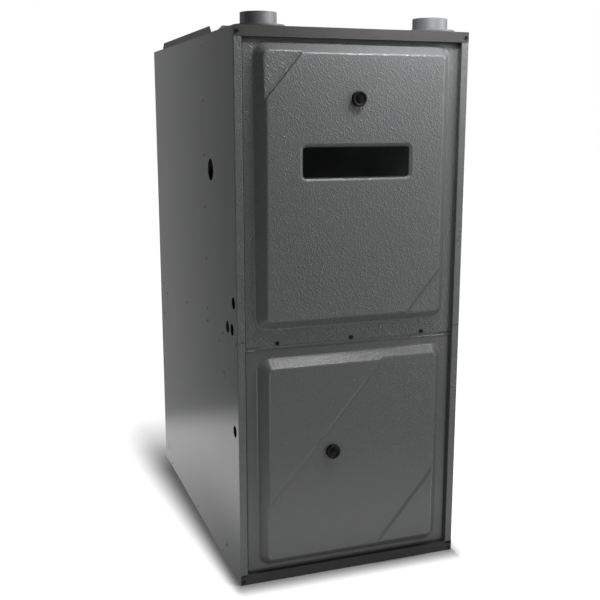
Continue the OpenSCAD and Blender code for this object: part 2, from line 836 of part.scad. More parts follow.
// Couplings: a socket for the field pipe above a stop, and one for the inner pipe below it
module pipe_collars() color("#8f9092") collar_places() difference() {
    union() {
        translate([0, 0, cab_h]) cylinder(r = collar_flange_r, h = collar_flange_t);
        translate([0, 0, collar_low]) cylinder(r = collar_r, h = cab_h + collar_h - collar_low);
    }
    translate([0, 0, collar_low - cut]) cylinder(r = vent_pipe_r + snug, h = pipe_insert + cut);
    translate([0, 0, collar_low]) cylinder(r = vent_pipe_r - vent_pipe_t, h = cab_h);
    translate([0, 0, collar_low + pipe_insert + collar_stop_t]) cylinder(r = collar_bore_r, h = cab_h);
    for (a = collar_screw_angles)
        rotate([0, 0, a]) translate([collar_screw_circle, 0, cab_h - cut])
            cylinder(r = collar_screw_r + snug, h = collar_flange_t + 2 * cut);
}

// ---------------------------------------------------------------- doors
// A door is drawn flat: X to the right, Y up, Z out of the room side, with 0 on the margin's face.

module door_frame() translate([0, margin_y, 0]) rotate([90, 0, 0]) children();

// Shift of a sheet's inner face along a bend between a flat and a slope
function bend_shift(rise, run, t) = t * tan(atan2(rise, run) / 2);

module door_blank(bottom, top) {
    translate([-door_half, bottom, -sheet]) cube([2 * door_half, top - bottom, sheet]);
    translate([0, 0, -door_return_d]) linear_extrude(door_return_d) difference() {
        translate([-door_half, bottom]) square([2 * door_half, top - bottom]);
        translate([sheet - door_half, bottom + sheet])
            square([2 * (door_half - sheet), top - bottom - 2 * sheet]);
    }
}

// The raised pan as a solid, or with t the space behind a sheet of thickness t
module pan_block(w, bottom, top, t) {
    below = t > 0 ? cut : 0;
    foot_r = pan_corner_r - bend_shift(pan_rise, pan_run, t);
    hull() for (x = [-1, 1], y = [bottom + pan_corner_r, top - pan_corner_r])
        translate([x * (w / 2 - pan_corner_r), y, -t - below])
            cylinder(h = pan_rise + below, r1 = foot_r + below * pan_run / pan_rise,
                r2 = foot_r - pan_run, $fn = hull_fn);
}

// Cuts a pan down to its low level beyond a diagonal through (x, y), up-left of it with side 1
module low_corner(x, y, side, t) {
    shift = bend_shift(level_step, level_run, t);
    high = pan_rise - t;
    low = high - level_step;
    over = 2;
    translate([x, y, 0]) rotate([0, 0, stripe_angle + (side > 0 ? 0 : 180)])
        rotate([90, 0, 90]) translate([0, 0, -wedge_reach]) linear_extrude(2 * wedge_reach)
            polygon([[level_run - shift, low], [wedge_reach, low], [wedge_reach, high + over],
                [-shift - over * level_run / level_step, high + over]]);
}

module badge_pocket(t) {
    shift = bend_shift(badge_pocket_d, badge_run, t);
    half_x = badge_w / 2 - badge_r;
    half_y = badge_h / 2 - badge_r;
    floor_r = badge_r + fit + shift;
    depth = badge_pocket_d + cut;
    hull() for (x = [-half_x, half_x], y = [-half_y, half_y])
        translate([x, badge_z + y, pan_rise - t - badge_pocket_d])
            cylinder(h = depth, r1 = floor_r, r2 = floor_r + badge_run * depth / badge_pocket_d,
                $fn = hull_fn);
}

face_half_upper = upper_pan_w / 2 - pan_run;

module upper_pan(t) difference() {
    pan_block(upper_pan_w, upper_pan_low, upper_pan_high, t);
    low_corner(corner_left - face_half_upper, upper_pan_high - pan_run, 1, t);
    low_corner(face_half_upper - corner_right, upper_pan_low + pan_run, -1, t);
    badge_pocket(t);
}

module lower_pan(t) difference() {
    pan_block(lower_pan_w, lower_pan_low, lower_pan_high, t);
    // the low band lies between two diagonals
    intersection() {
        low_corner(band_top_x, lower_pan_high - pan_run, -1, t);
        low_corner(band_low_x, lower_pan_low + pan_run, 1, t);
    }
}

module sight_hole(x, y) translate([x, y, -wedge_reach])
    cylinder(r = bezel_neck_r + snug, h = 2 * wedge_reach);

module upper_door() color(doors_paint) difference() {
    door_frame() difference() {
        union() {
            door_blank(upper_bottom, upper_top);
            upper_pan(0);
        }
        upper_pan(sheet);
        sight_hole(0, upper_sight_z);
        for (x = [-door_screw_x, 0, door_screw_x])
            translate([x, door_screw_z, -sheet - cut]) cylinder(r = door_screw_r + snug, h = sheet + 2 * cut);
    }
    // the top return is notched round the vent pipe
    translate([0, 0, cab_h / 2]) collar_places() cylinder(r = collar_r + 1, h = cab_h);
}

module lower_door() color(doors_paint) door_frame() difference() {
    union() {
        door_blank(lower_bottom, lower_top);
        lower_pan(0);
    }
    lower_pan(sheet);
    sight_hole(lower_sight_x, lower_sight_z);
}

// Insulation behind a pan's low level
module door_pad(w, bottom, top, x, y) color("#c9c6b8") door_frame() difference() {
    pad_front = pan_rise - level_step - sheet - snug;
    translate([pan_run + fit - w / 2, bottom + pan_run + fit, pad_front - pad_t])
        cube([w - 2 * pan_run - 2 * fit, top - bottom - 2 * pan_run - 2 * fit, pad_t]);
    translate([x, y, 0]) cylinder(r = bezel_r + 2, h = pan_rise);
}

module upper_door_insulation()
    door_pad(upper_pan_w, upper_pan_low, upper_pan_high, 0, upper_sight_z);
module lower_door_insulation()
    door_pad(lower_pan_w, lower_pan_low, lower_pan_high, lower_sight_x, lower_sight_z);

module badge_plate() color(black_plastic) door_frame()
    translate([0, badge_z, pan_rise - badge_pocket_d]) linear_extrude(badge_t)
        rounded_plate(badge_w, badge_h, badge_r);

module door_screws() color("#3a3b3c") {
    head_h = 3;
    reach = ledge_y - margin_y + 6;
    for (x = [-door_screw_x, 0, door_screw_x]) translate([x, margin_y, door_screw_z]) {
        translate([0, -head_h, 0]) rotate([-90, 0, 0]) cylinder(r = door_screw_head_r, h = head_h, $fn = 6);
        translate([0, -1, 0]) rod_y(door_screw_head_r + 0.6, 1);
        rod_y(door_screw_r, reach);
    }
}

// Ring of a sight glass, standing on the door's face
module bezel_ring() {
    round_r = 2;
    neck_l = sheet + 4;
    rotate_extrude() difference() {
        union() {
            translate([bezel_bore_r, 0]) square([bezel_r - round_r - bezel_bore_r, bezel_h]);
            translate([bezel_bore_r, 0]) square([bezel_r - bezel_bore_r, bezel_h - round_r]);
            translate([bezel_r - round_r, bezel_h - round_r]) circle(round_r);
            translate([bezel_bore_r, -neck_l]) square([bezel_neck_r - bezel_bore_r, neck_l]);
        }
        translate([0, bezel_h - lens_t - 1]) square([lens_r + snug, lens_t + 2]);
    }
}

lens_t = 2;
lens_r = bezel_bore_r + 1.2;

module lens_disc() translate([0, 0, bezel_h - lens_t - 1]) cylinder(r = lens_r, h = lens_t);

module upper_sight() door_frame() translate([0, upper_sight_z, pan_rise]) children();
module lower_sight() door_frame() translate([lower_sight_x, lower_sight_z, pan_rise - level_step]) children();

module upper_sight_bezel() color(black_plastic) upper_sight() bezel_ring();
module upper_sight_lens() color("#20242a") upper_sight() lens_disc();
module lower_sight_bezel() color(black_plastic) lower_sight() bezel_ring();
module lower_sight_lens() color("#20242a") lower_sight() lens_disc();

// ---------------------------------------------------------------- burners and gas train

// Folded tray that carries the burners, seated on the vestibule panel
module burner_rack() color(zinc) difference() {
    rack_back = vestibule_y - sheet;
    side_d = rack_back - rack_front_y;
    union() {
        translate([-rack_half, rack_front_y, rack_z]) cube([2 * rack_half, side_d, sheet]);
        translate([-rack_half, rack_front_y, rack_z]) cube([2 * rack_half, sheet, rack_h]);
        both_sides() translate([rack_half - sheet, rack_front_y, rack_z]) cube([sheet, side_d, rack_h]);
        both_sides() translate([rack_half - sheet, rack_back - sheet, rack_z])
            cube([rack_ear_w, sheet, rack_h]);
    }
    for (x = tube_xs)
        translate([x, rack_front_y - cut, burner_z])
            rod_y(burner_throat_r + burner_wall + snug, sheet + 2 * cut);
    // windows behind the flame roll-out switches
    for (side = [-1, 1])
        translate([side * reset_x, rack_front_y - cut, reset_z])
            rod_y(disc_switch_r - 3, sheet + 2 * cut);
    // igniter and flame sensor
    translate([rack_half - 2 * sheet, burner_back_y + 9, burner_z]) rod_x(igniter_r + snug, 4 * sheet);
    translate([-rack_half - 2 * sheet, burner_back_y + 9, burner_z + 4])
        rod_x(sensor_r + snug, 4 * sheet);
}

igniter_r = 6;
sensor_r = 4.5;

// Revolved profile of one in-shot burner: flared mouth, throat, cone and head
module burner_body(grow) {
    l = burner_back - burner_front;
    mouth_l = 10;
    throat_end = 64;
    cone_end = 88;
    polygon([[0, grow > 0 ? 0 : -cut], [burner_flare_r + grow, grow > 0 ? 0 : -cut],
        [burner_throat_r + grow, mouth_l], [burner_throat_r + grow, throat_end],
        [burner_head_r - burner_wall + grow, cone_end],
        [burner_head_r - burner_wall + grow, grow > 0 ? l : l + cut], [0, grow > 0 ? l : l + cut]]);
}

module burners() color(steel) {
    for (x = tube_xs) translate([x, burner_front_y, burner_z]) rotate([-90, 0, 0]) {
        rotate_extrude() difference() {
            burner_body(burner_wall);
            burner_body(0);
        }
        // flame ribs in the head
        for (a = [0, 60, 120]) rotate([0, 0, a])
            translate([0, 0, burner_back - burner_front - 12])
                cube([2 * (burner_head_r - burner_wall / 2), burner_wall, 10], center = true);
        // foot on the rack
        translate([-6, 0, 0]) burner_foot();
    }
    // crossover wings that carry the flame from head to head
    for (i = [0 : tube_count - 2])
        translate([tube_xs[i] + burner_head_r - 0.3, burner_back_y - 14, burner_z - 2])
            cube([tube_pitch - 2 * burner_head_r + 0.6, 12, 4]);
}

// Strap from a burner's cone down to the rack's floor
module burner_foot() {
    translate([0, burner_throat_r + burner_wall / 2, 70])
        cube([12, burner_z - rack_z - sheet - burner_throat_r - burner_wall / 2, burner_wall]);
}

module pipe_path_riser() {
    elbow_r = manifold_r + 3;
    translate([valve_x0 + valve_w - 0.5, valve_y, valve_z])
        rod_x(manifold_r, riser_x - valve_x0 - valve_w + 0.5);
    translate([riser_x, valve_y, valve_z]) sphere(elbow_r);
    translate([riser_x, manifold_y, valve_z]) rod_y(manifold_r, valve_y - manifold_y);
    translate([riser_x, manifold_y, valve_z]) sphere(elbow_r);
    translate([riser_x, manifold_y, valve_z]) cylinder(r = manifold_r, h = burner_z - valve_z);
    translate([riser_x, manifold_y, burner_z]) sphere(elbow_r);
}

// Middle of the manifold's ears, halfway between the two outer burners
ear_x = tube_xs[tube_count - 1] - tube_pitch / 2;
ear_w = 14;

module gas_manifold() color("#4b4f52") difference() {
    union() {
        difference() {
            pipe_path_riser();
            // the riser stops on the valve's outlet face
            translate([valve_x0, valve_y - valve_d, valve_z - valve_h])
                cube([valve_w, 2 * valve_d, 2 * valve_h]);
        }
        translate([-manifold_half, manifold_y, burner_z]) rod_x(manifold_r, 2 * manifold_half);
        for (x = tube_xs)
            translate([x, manifold_y, burner_z]) rod_y(orifice_r + 3, manifold_r + 4);
        // mounting ears to the burner rack
        both_sides() translate([ear_x - ear_w / 2, manifold_y, burner_z + manifold_r - 3]) {
            cube([ear_w, rack_front_y - manifold_y, 2]);
            translate([0, rack_front_y - manifold_y - 2, 0]) cube([ear_w, 2, ear_w]);
        }
    }
    for (x = tube_xs)
        translate([x, manifold_y, burner_z]) rod_y(orifice_r - 1 + snug, manifold_r + 4 + cut);
}

module gas_orifices() color(brass) for (x = tube_xs) translate([x, manifold_y, burner_z]) {
    difference() {
        union() {
            translate([0, manifold_r - 2, 0]) rod_y(orifice_r - 1, 6 + snug);
            translate([0, manifold_r + 4, 0]) rotate([-90, 0, 0])
                cylinder(r = orifice_r + 1.5, h = 5, $fn = 6);
            translate([0, manifold_r + 4, 0]) rod_y(orifice_r - 1.5, orifice_l - 6);
        }
        translate([0, manifold_r - 3, 0]) rod_y(1.2, orifice_l + 2);
    }
}

module gas_valve() color("#a9adb0") difference() {
    regulator_r = 15;
    union() {
        translate([valve_x0, valve_y - valve_d / 2, valve_z - valve_h / 2 + 4])
            cube([valve_w, valve_d, valve_h - 8]);
        // inlet and outlet hubs
        translate([valve_x0 - 8, valve_y, valve_z]) rotate([0, 90, 0])
            cylinder(r = valve_port_r + 9, h = 10, $fn = 8);
        // solenoid and regulator towers
        translate([valve_x0 + 56, valve_y - 6, valve_z + valve_h / 2 - 5])
            cylinder(r = regulator_r, h = 26);
        translate([valve_x0 + 50, valve_y - valve_d / 2 - 14, valve_z + 2]) rod_y(regulator_r - 4, 16);
        // knob boss
        translate([knob_x, valve_y, valve_z + valve_h / 2 - 5]) cylinder(r = knob_r + 3, h = 5);
        // strap to the vestibule panel
        translate([valve_x0 + 20, valve_y + valve_d / 2 - 1, valve_z - valve_h / 2 + 4])
            cube([30, vestibule_y - sheet - valve_y - valve_d / 2 + 1, 3]);
        translate([valve_x0 + 20, vestibule_y - sheet - 3, valve_z - valve_h / 2 + 4]) cube([30, 3, 26]);
    }
    translate([valve_x0 - 8 - cut, valve_y, valve_z]) rod_x(valve_port_r, valve_port_l + cut);
    translate([knob_x, valve_y, valve_z]) cylinder(r = knob_post_r + shaft_fit, h = valve_h);
}

module gas_valve_knob() color("#c8262c") translate([knob_x, valve_y, knob_z + 0.3]) {
    grip_w = 5;
    difference() {
        cylinder(r = knob_r, h = knob_h);
        for (side = [-1, 1])
            translate([-2 * knob_r, side > 0 ? grip_w / 2 : -grip_w / 2 - 2 * knob_r, 3])
                cube([4 * knob_r, 2 * knob_r, knob_h]);
    }
    cylinder(r = 7, h = 4);
    translate([0, 0, -14]) cylinder(r = knob_post_r, h = 15);
}

module igniter() color("#e8e4da") {
    tip = tube_xs[tube_count - 1] + burner_head_r - 6;
    y = burner_back_y + 9;
    translate([rack_half - 22, y, burner_z]) rod_x(igniter_r, 42);
    translate([rack_half, y, burner_z]) rod_x(igniter_r + 4, 3);
    translate([tip, y - 1.5, burner_z - 4]) cube([rack_half - 22 - tip + 1, 3, 2.4]);
    translate([tip, y - 1.5, burner_z + 1.6]) cube([rack_half - 22 - tip + 1, 3, 2.4]);
    translate([tip, y - 1.5, burner_z - 4]) cube([2.4, 3, 8]);
}

module flame_sensor() color("#dfe0e0") {
    y = burner_back_y + 9;
    tip = tube_xs[0] - burner_head_r + 8;
    translate([-rack_half - 20, y, burner_z + 4]) rod_x(sensor_r, 34);
    translate([-rack_half - 3, y, burner_z + 4]) rod_x(sensor_r + 4, 3);
    translate([-rack_half + 13, y, burner_z + 4]) rod_x(1.5, tip + rack_half - 13);
}

// A snap-disc switch with its mounting ears, seated at the origin and facing -Y
module disc_switch(bore) difference() {
    union() {
        translate([0, -3, 0]) rod_y(disc_switch_r, 3);
        translate([-disc_switch_r - 6, -1, -4]) cube([2 * disc_switch_r + 12, 1, 8]);
        translate([0, -disc_depth, 0]) rod_y(disc_switch_r - 1.5, disc_depth);
        for (x = [-3.2, 3.2]) if (bore == 0)
            translate([x - 0.4, -disc_depth - 8, -3]) cube([0.8, 9, 6]);
    }
    if (bore > 0) translate([0, -disc_depth - cut, 0]) rod_y(bore, disc_depth + 2 * cut);
}

limit_x = 20;
limit_up = 80;
limit_z = pressure_z + limit_up;

module safety_switches() color("#2b2a2c") {
    for (side = [-1, 1])
        translate([side * reset_x, rack_front_y, reset_z]) disc_switch(reset_r + shaft_fit);
    translate([limit_x, vestibule_y - sheet, limit_z]) disc_switch(0);
}

module reset_button() {
    rod_y(reset_r, disc_depth - reset_travel);
    translate([0, -reset_travel - 1.5, 0]) rod_y(reset_r, reset_travel + 1.6);
    translate([0, -reset_travel - 2.5, 0]) rod_y(reset_r + 1.2, 2.2);
}

module left_reset_button() color("#c8262c") translate([-reset_x, reset_face_y, reset_z]) reset_button();
module right_reset_button() color("#c8262c") translate([reset_x, reset_face_y, reset_z]) reset_button();

// ---------------------------------------------------------------- inducer, vent and condensate

module collector_box() color(black_plastic) {
    w = collector_x1 - collector_x0;
    h = collector_z1 - collector_z0;
    difference() {
        union() {
            translate([collector_x0, collector_y, collector_z0]) cube([w, collector_depth, h]);
            // ribs on the front face
            for (i = [1 : 3])
                translate([collector_x0 + i * 26, collector_y - 3, collector_z0 + 8]) cube([3, 4, h - 16]);
            // pressure tap
            translate([tap_x, hose_y, collector_z1 - 1]) cylinder(r = hose_r - 1, h = tap_h + 1);
            // drain spigot
            translate([trap_x1, trap_y1 - trap_d / 2, collector_z0 + 14])
                rod_x(8, collector_x0 - trap_x1 + 1);
        }
        // open to the coil
        translate([collector_x0 + plastic_t, collector_y + plastic_t, collector_z0 + plastic_t])
            cube([w - 2 * plastic_t, collector_depth, h - 2 * plastic_t]);
        translate([inducer_x, collector_y - cut, inducer_z]) rod_y(inducer_eye_r, plastic_t + 2 * cut);
    }
}

inducer_eye_r = 24;

// Spiral with radius r0 straight up, growing by growth over 270 degrees, then a straight neck
function scroll_points(r0, growth, steps) = [for (i = [0 : steps])
    let (a = 90 + 270 * i / steps, r = r0 + growth * i / steps) [r * cos(a), r * sin(a)]];

module scroll_outline(r0, growth, steps, top)
    polygon(concat(scroll_points(r0, growth, steps), [[r0 + growth, top], [0, top]]));

// Volute drawn in X and Z about the inducer's axis, open upwards into a round neck
module inducer_housing() color("#2a2c2f") difference() {
    inner_r = inducer_r - plastic_t;
    union() {
        translate([inducer_x, inducer_back_y, inducer_z]) rotate([90, 0, 0]) linear_extrude(inducer_depth)
            scroll_outline(inducer_r, inducer_growth, 18, inducer_r);
        translate([vent_x, inducer_mid_y, inducer_z]) cylinder(r = neck_r, h = neck_top - inducer_z);
        for (a = [45, 165, 285])
            translate([inducer_x, inducer_front_y - inducer_motor_gap, inducer_z]) rotate([0, a, 0])
                translate([inducer_motor_r - 8, 0, 0]) rod_y(4, inducer_motor_gap + 1);
    }
    translate([inducer_x, inducer_back_y - plastic_t, inducer_z]) rotate([90, 0, 0])
        linear_extrude(inducer_depth - 2 * plastic_t)
            scroll_outline(inner_r, inducer_growth, 18, inner_r);
    translate([vent_x, inducer_mid_y, inducer_z]) cylinder(r = neck_r - 2 * plastic_t, h = neck_top);
    translate([vent_x, inducer_mid_y, neck_top - 16]) cylinder(r = vent_pipe_r + snug, h = 16 + cut);
    translate([inducer_x, inducer_back_y - plastic_t - cut, inducer_z])
        rod_y(inducer_eye_r, plastic_t + 2 * cut);
    translate([inducer_x, inducer_front_y - cut, inducer_z])
        rod_y(inducer_shaft_r + shaft_fit, plastic_t + 2 * cut);
}

module inducer_wheel() color("#b9bdbf") translate([inducer_x, inducer_mid_y, inducer_z]) {
    half = inducer_wheel_w / 2;
    back_t = 2;
    difference() {
        union() {
            translate([0, -half, 0]) rod_y(inducer_wheel_r, back_t);
            translate([0, -half, 0]) rod_y(11, 20);
            translate([0, -half + back_t, 0]) rotate([-90, 0, 0]) linear_extrude(inducer_wheel_w - back_t)
                for (i = [0 : inducer_blades - 1]) rotate(i * 360 / inducer_blades)
                    translate([26, 0]) rotate(28) square([34, 1.4]);
        }
        translate([0, -half - cut, 0]) rod_y(inducer_shaft_r + shaft_fit, 20 + 2 * cut);
    }
}

// Shaft through the motor, from the cooling fan to the wheel
module inducer_shaft() color(steel) {
    start = inducer_motor_front - fan_gap - fan_w;
    translate([inducer_x, start, inducer_z])
        rod_y(inducer_shaft_r, inducer_mid_y - inducer_wheel_w / 2 + 20 - start);
}

module inducer_motor() color("#3c3f42") translate([inducer_x, inducer_motor_front, inducer_z]) difference() {
    union() {
        rod_y(inducer_motor_r - 6, inducer_motor_l);
        translate([0, 8, 0]) rod_y(inducer_motor_r, inducer_motor_l - 16);
        translate([0, inducer_motor_l - 3, 0]) rod_y(inducer_motor_r, 3);
    }
    translate([0, -cut, 0]) rod_y(inducer_shaft_r + shaft_fit, inducer_motor_l + 2 * cut);
    // slots in the front end bell
    for (a = [0 : 45 : 315]) rotate([0, a, 0])
        translate([14, -cut, -2]) cube([16, 6, 4]);
}

module inducer_cooling_fan() color(black_plastic) {
    blades = 6;
    translate([inducer_x, inducer_motor_front - fan_gap - fan_w, inducer_z]) difference() {
        union() {
            rod_y(10, fan_w);
            for (i = [0 : blades - 1]) rotate([0, i * 360 / blades, 0])
                translate([8, fan_w / 2, 0]) rotate([32, 0, 0])
                    translate([0, -0.8, -8]) cube([fan_r - 8, 1.6, 16]);
        }
        translate([0, -cut, 0]) rod_y(inducer_shaft_r + shaft_fit, fan_w + 2 * cut);
        // blades stay inside the hub's length on the motor side
        translate([-2 * fan_r, fan_w, -2 * fan_r]) cube([4 * fan_r, 2 * fan_r, 4 * fan_r]);
    }
}

module vent_solid(r) {
    low_z = neck_top + 16;
    turn_z = low_z + vent_bend_r;
    start_z = neck_top - 16;
    run = inducer_mid_y - vent_front_y - 2 * vent_bend_r;
    // stub in the neck, bend forward, short run, bend up, riser to the collar
    translate([vent_x, inducer_mid_y, start_z]) cylinder(r = r, h = low_z - start_z);
    translate([vent_x, inducer_mid_y - vent_bend_r, low_z]) rotate([90, 0, 90]) bend(vent_bend_r, r);
    translate([vent_x, vent_front_y + vent_bend_r, turn_z]) rod_y(r, run);
    translate([vent_x, vent_front_y + vent_bend_r, turn_z + vent_bend_r]) rotate([0, 90, 0])
        rotate([0, 0, 180]) mirror([1, 0, 0]) bend(vent_bend_r, r);
    translate([vent_x, vent_front_y, turn_z + vent_bend_r])
        cylinder(r = r, h = collar_low + pipe_insert - turn_z - vent_bend_r);
}

module vent_pipe() color("#d8d8d4") difference() {
    vent_solid(vent_pipe_r);
    vent_solid(vent_pipe_r - vent_pipe_t);
}

module pressure_switch() color("#303236") {
    translate([pressure_x, pressure_y - pressure_t / 2, pressure_z]) rod_y(pressure_r, pressure_t);
    translate([pressure_x, pressure_y - pressure_t / 2 - 9, pressure_z]) rod_y(9, 10);
    translate([pressure_x, pressure_y - 3, pressure_z]) rod_y(pressure_r + 3, 6);
    // hose port
    translate([pressure_x + pressure_r - 2, hose_y, hose_z]) rod_x(hose_r - 1, pressure_port_l);
    // folded foot on the vestibule panel
    translate([pressure_x - pressure_foot_w / 2, pressure_y, pressure_z - pressure_r - 1]) {
        cube([pressure_foot_w, vestibule_y - sheet - pressure_y, 2]);
        translate([0, vestibule_y - sheet - 2 - pressure_y, 0]) cube([pressure_foot_w, 2, pressure_foot_h]);
    }
}

module pressure_hose() color("#151515") {
    start_x = pressure_x + pressure_r + 4;
    bend_x = tap_x - hose_bend_r;
    difference() {
        union() {
            translate([start_x, hose_y, hose_z]) rod_x(hose_r, bend_x - start_x);
            translate([bend_x, hose_y, hose_z - hose_bend_r]) rotate([90, 0, 0]) bend(hose_bend_r, hose_r);
            translate([tap_x, hose_y, collector_z1 + 3])
                cylinder(r = hose_r, h = hose_z - hose_bend_r - collector_z1 - 3);
        }
        translate([start_x - cut, hose_y, hose_z]) rod_x(hose_r - 1 + snug, 12 + cut);
        translate([tap_x, hose_y, collector_z1]) cylinder(r = hose_r - 1 + snug, h = tap_h + 0.5);
    }
}

module condensate_trap() color("#26282b") {
    x0 = trap_x1 - trap_w;
    y0 = trap_y1 - trap_d;
    translate([x0, y0, deck_z + sheet]) difference() {
        cube([trap_w, trap_d, trap_h]);
        // open standpipes
        for (x = [14, trap_w - 14])
            translate([x, trap_d / 2, trap_h - 60]) cylinder(r = 8, h = 60 + cut);
    }
    translate([x0 - 3, y0 + 8, deck_z + sheet + trap_h - 14]) cube([trap_w + 3, trap_d - 8, 4]);
    // outlet spigot
    translate([drain_x, y0 - 18, drain_hole[1]]) rod_y(drain_r - 2, 19);
}

module drain_hose() color("#1a1a1a") {
    start_y = trap_y1 - trap_d - 2;
    bend_y = front_y + drain_hole[0] + drain_bend_r;
    out_x = -inner_half + 1;
    difference() {
        union() {
            translate([drain_x, bend_y, drain_hole[1]]) rod_y(drain_r, start_y - bend_y);
            translate([drain_x - drain_bend_r, bend_y, drain_hole[1]]) rotate([0, 0, -90])
                bend(drain_bend_r, drain_r);
            translate([out_x, front_y + drain_hole[0], drain_hole[1]])
                rod_x(drain_r, drain_x - drain_bend_r - out_x);
        }
        translate([drain_x, start_y - 20, drain_hole[1]]) rod_y(drain_r - 2 + snug, 20 + cut);
        translate([out_x - cut, front_y + drain_hole[0], drain_hole[1]]) rod_x(drain_r - 2, 24);
    }
}

// ---------------------------------------------------------------- heat exchanger

// One tube drawn at X = 0: three runs and two bends
module tube_solid(r, over) {
    start_y = vestibule_y - sheet - 4;
    rear_y = front_y + rear_bend_d;
    near_y = front_y + front_bend_d;
    translate([0, start_y - over, burner_z]) rod_y(r, rear_y - start_y + over);
    translate([0, rear_y, burner_z - rear_bend_r]) rotate([90, 0, 90]) rotate([0, 0, -90])
        bend(rear_bend_r, r, 180);
    translate([0, near_y, run2_z]) rod_y(r, rear_y - near_y);
    translate([0, near_y, run2_z - front_bend_r]) rotate([90, 0, 90]) rotate([0, 0, 90])
        bend(front_bend_r, r, 180);
    translate([0, near_y, run3_z]) rod_y(r, header_y - near_y + over);
}

module primary_tubes() color("#8d8f90") for (x = tube_xs) translate([x, 0, 0]) difference() {
    tube_solid(tube_r, 0);
    tube_solid(tube_r - tube_t, cut);
}

// Stamped box that turns the gas from the tubes into the coil
module rear_header() color("#8d8f90") difference() {
    bottom = coil_z - 8;
    outer_h = header_top - bottom;
    union() {
        header_side(0, coil_half + 6, bottom, outer_h);
        // flange on the coil's side
        translate([-coil_half - 14, header_y, bottom - 8]) cube([coil_w + 28, plate_t, outer_h + 16]);
    }
    header_side(plate_t, coil_half + 6, bottom, outer_h);
    // tube ends and the coil's face
    for (x = tube_xs)
        translate([x, header_y - cut, run3_z]) rod_y(tube_r - tube_t, plate_t + 2 * cut);
    translate([-coil_half + plate_t, header_y - cut, coil_z + plate_t])
        cube([coil_w - 2 * plate_t, plate_t + 2 * cut, coil_h - 2 * plate_t]);
}

// Header's outline seen from the side, smaller by t, with a sloped top edge at the back
module header_side(t, half, bottom, h) {
    slope = 26;
    top = h - t;
    back = header_depth - t;
    edge = slope + t * tan(22.5);
    translate([-half + t, header_y, bottom]) rotate([90, 0, 90]) linear_extrude(2 * (half - t))
        polygon([[t, t], [back, t], [back, h - edge], [header_depth - edge, top], [t, top]]);
}

function coil_tube_places() = [for (i = [0 : coil_columns - 1], j = [1 : coil_rows])
    [(i + 0.5) * coil_pitch_x - coil_half, coil_z + j * coil_pitch_z]];

// Tubes between two end plates that stand on the deck
module secondary_coil() color("#a9abac") {
    last_y = header_y - 0.1;
    for (y = [coil_front_y, last_y - plate_t]) difference() {
        translate([-coil_half - 12, y, deck_z]) cube([coil_w + 24, plate_t, coil_z + coil_h + 10 - deck_z]);
        for (place = coil_tube_places())
            translate([place[0], y - cut, place[1]]) rod_y(coil_tube_r - 0.8, plate_t + 2 * cut);
    }
    for (place = coil_tube_places())
        translate([place[0], coil_front_y + plate_t - 0.2, place[1]])
            rotate([-90, 0, 0]) linear_extrude(last_y - coil_front_y - 2 * plate_t + 0.4)
                ring(coil_tube_r, coil_tube_r - 0.8);
}

module coil_fins() color("#c4c7c8") {
    span = header_y - coil_front_y - 2 * plate_t - 16;
    step = span / (fin_count - 1);
    for (i = [0 : fin_count - 1])
        translate([0, coil_front_y + plate_t + 8 + i * step, 0]) rotate([90, 0, 0])
            linear_extrude(fin_t, center = true) difference() {
                translate([-coil_half, coil_z]) square([coil_w, coil_h]);
                for (place = coil_tube_places()) translate(place) circle(coil_tube_r + snug);
            }
}

// ---------------------------------------------------------------- blower

// Places a drawing of Y (right) and Z (up) so that it extrudes along X
module side_drawing(x) translate([x, blower_y, blower_z]) rotate([90, 0, 90]) children();

module blower_housing() color(zinc) {
    neck = deck_under - blower_z;
    difference() {
        union() {
            side_drawing(-housing_half) linear_extrude(housing_w) difference() {
                scroll_outline(scroll_r, scroll_growth, scroll_steps, neck);
                scroll_hollow(neck);
            }
            for (x = [-housing_half, housing_half - sheet])
                side_drawing(x) linear_extrude(sheet)
                    scroll_outline(scroll_r, scroll_growth, scroll_steps, neck);
            // outlet lips under the deck
            difference() {
                translate([-housing_half - outlet_lip, blower_y - outlet_lip, deck_under - sheet])
                    cube([housing_w + 2 * outlet_lip, scroll_end_r + 2 * outlet_lip, sheet]);
                translate([-housing_half + sheet, blower_y + sheet, deck_under - 2 * sheet])
                    cube([housing_w - 2 * sheet, scroll_end_r - 2 * sheet, 3 * sheet]);
            }
            // rolled inlet lips
            both_sides() translate([housing_half - sheet, blower_y, blower_z]) rotate([0, -90, 0])
                inlet_ring();
        }
        translate([-housing_w, blower_y, blower_z]) rod_x(inlet_r, 2 * housing_w);
    }
}

// Inside of the scroll, one sheet smaller
module scroll_hollow(neck) {
    end_x = scroll_end_r - sheet;
    polygon(concat(scroll_points(scroll_r - sheet, scroll_growth, scroll_steps),
        [[end_x, neck + cut], [sheet, neck + cut], [sheet, scroll_r - sheet]]));
}

module inlet_ring() {
    rotate_extrude() difference() {
        translate([inlet_r - cut, 0]) square([inlet_lip + cut, inlet_lip]);
        translate([inlet_r + inlet_lip, inlet_lip]) circle(inlet_lip - sheet);
        translate([inlet_r + inlet_lip, -cut]) square([inlet_lip, 2 * inlet_lip + cut]);
    }
}

// Forward-curved blade as a thin arc in the wheel's plane
module blade_arc() {
    inset = 0.8;
    polygon(concat(blade_edge(inset, 0, [0 : blade_steps]),
        blade_edge(inset, blade_t, [blade_steps : -1 : 0])));
}

// Points of one face of a blade, from inset inside the rings, with its thickness as an arc length
function blade_edge(inset, t, order) = [for (i = order)
    let (s = i / blade_steps, r = wheel_r - blade_depth + inset + (blade_depth - 2 * inset) * s,
        a = blade_lean * s * s / 2 - t / r * 180 / PI) [r * cos(a), r * sin(a)]];

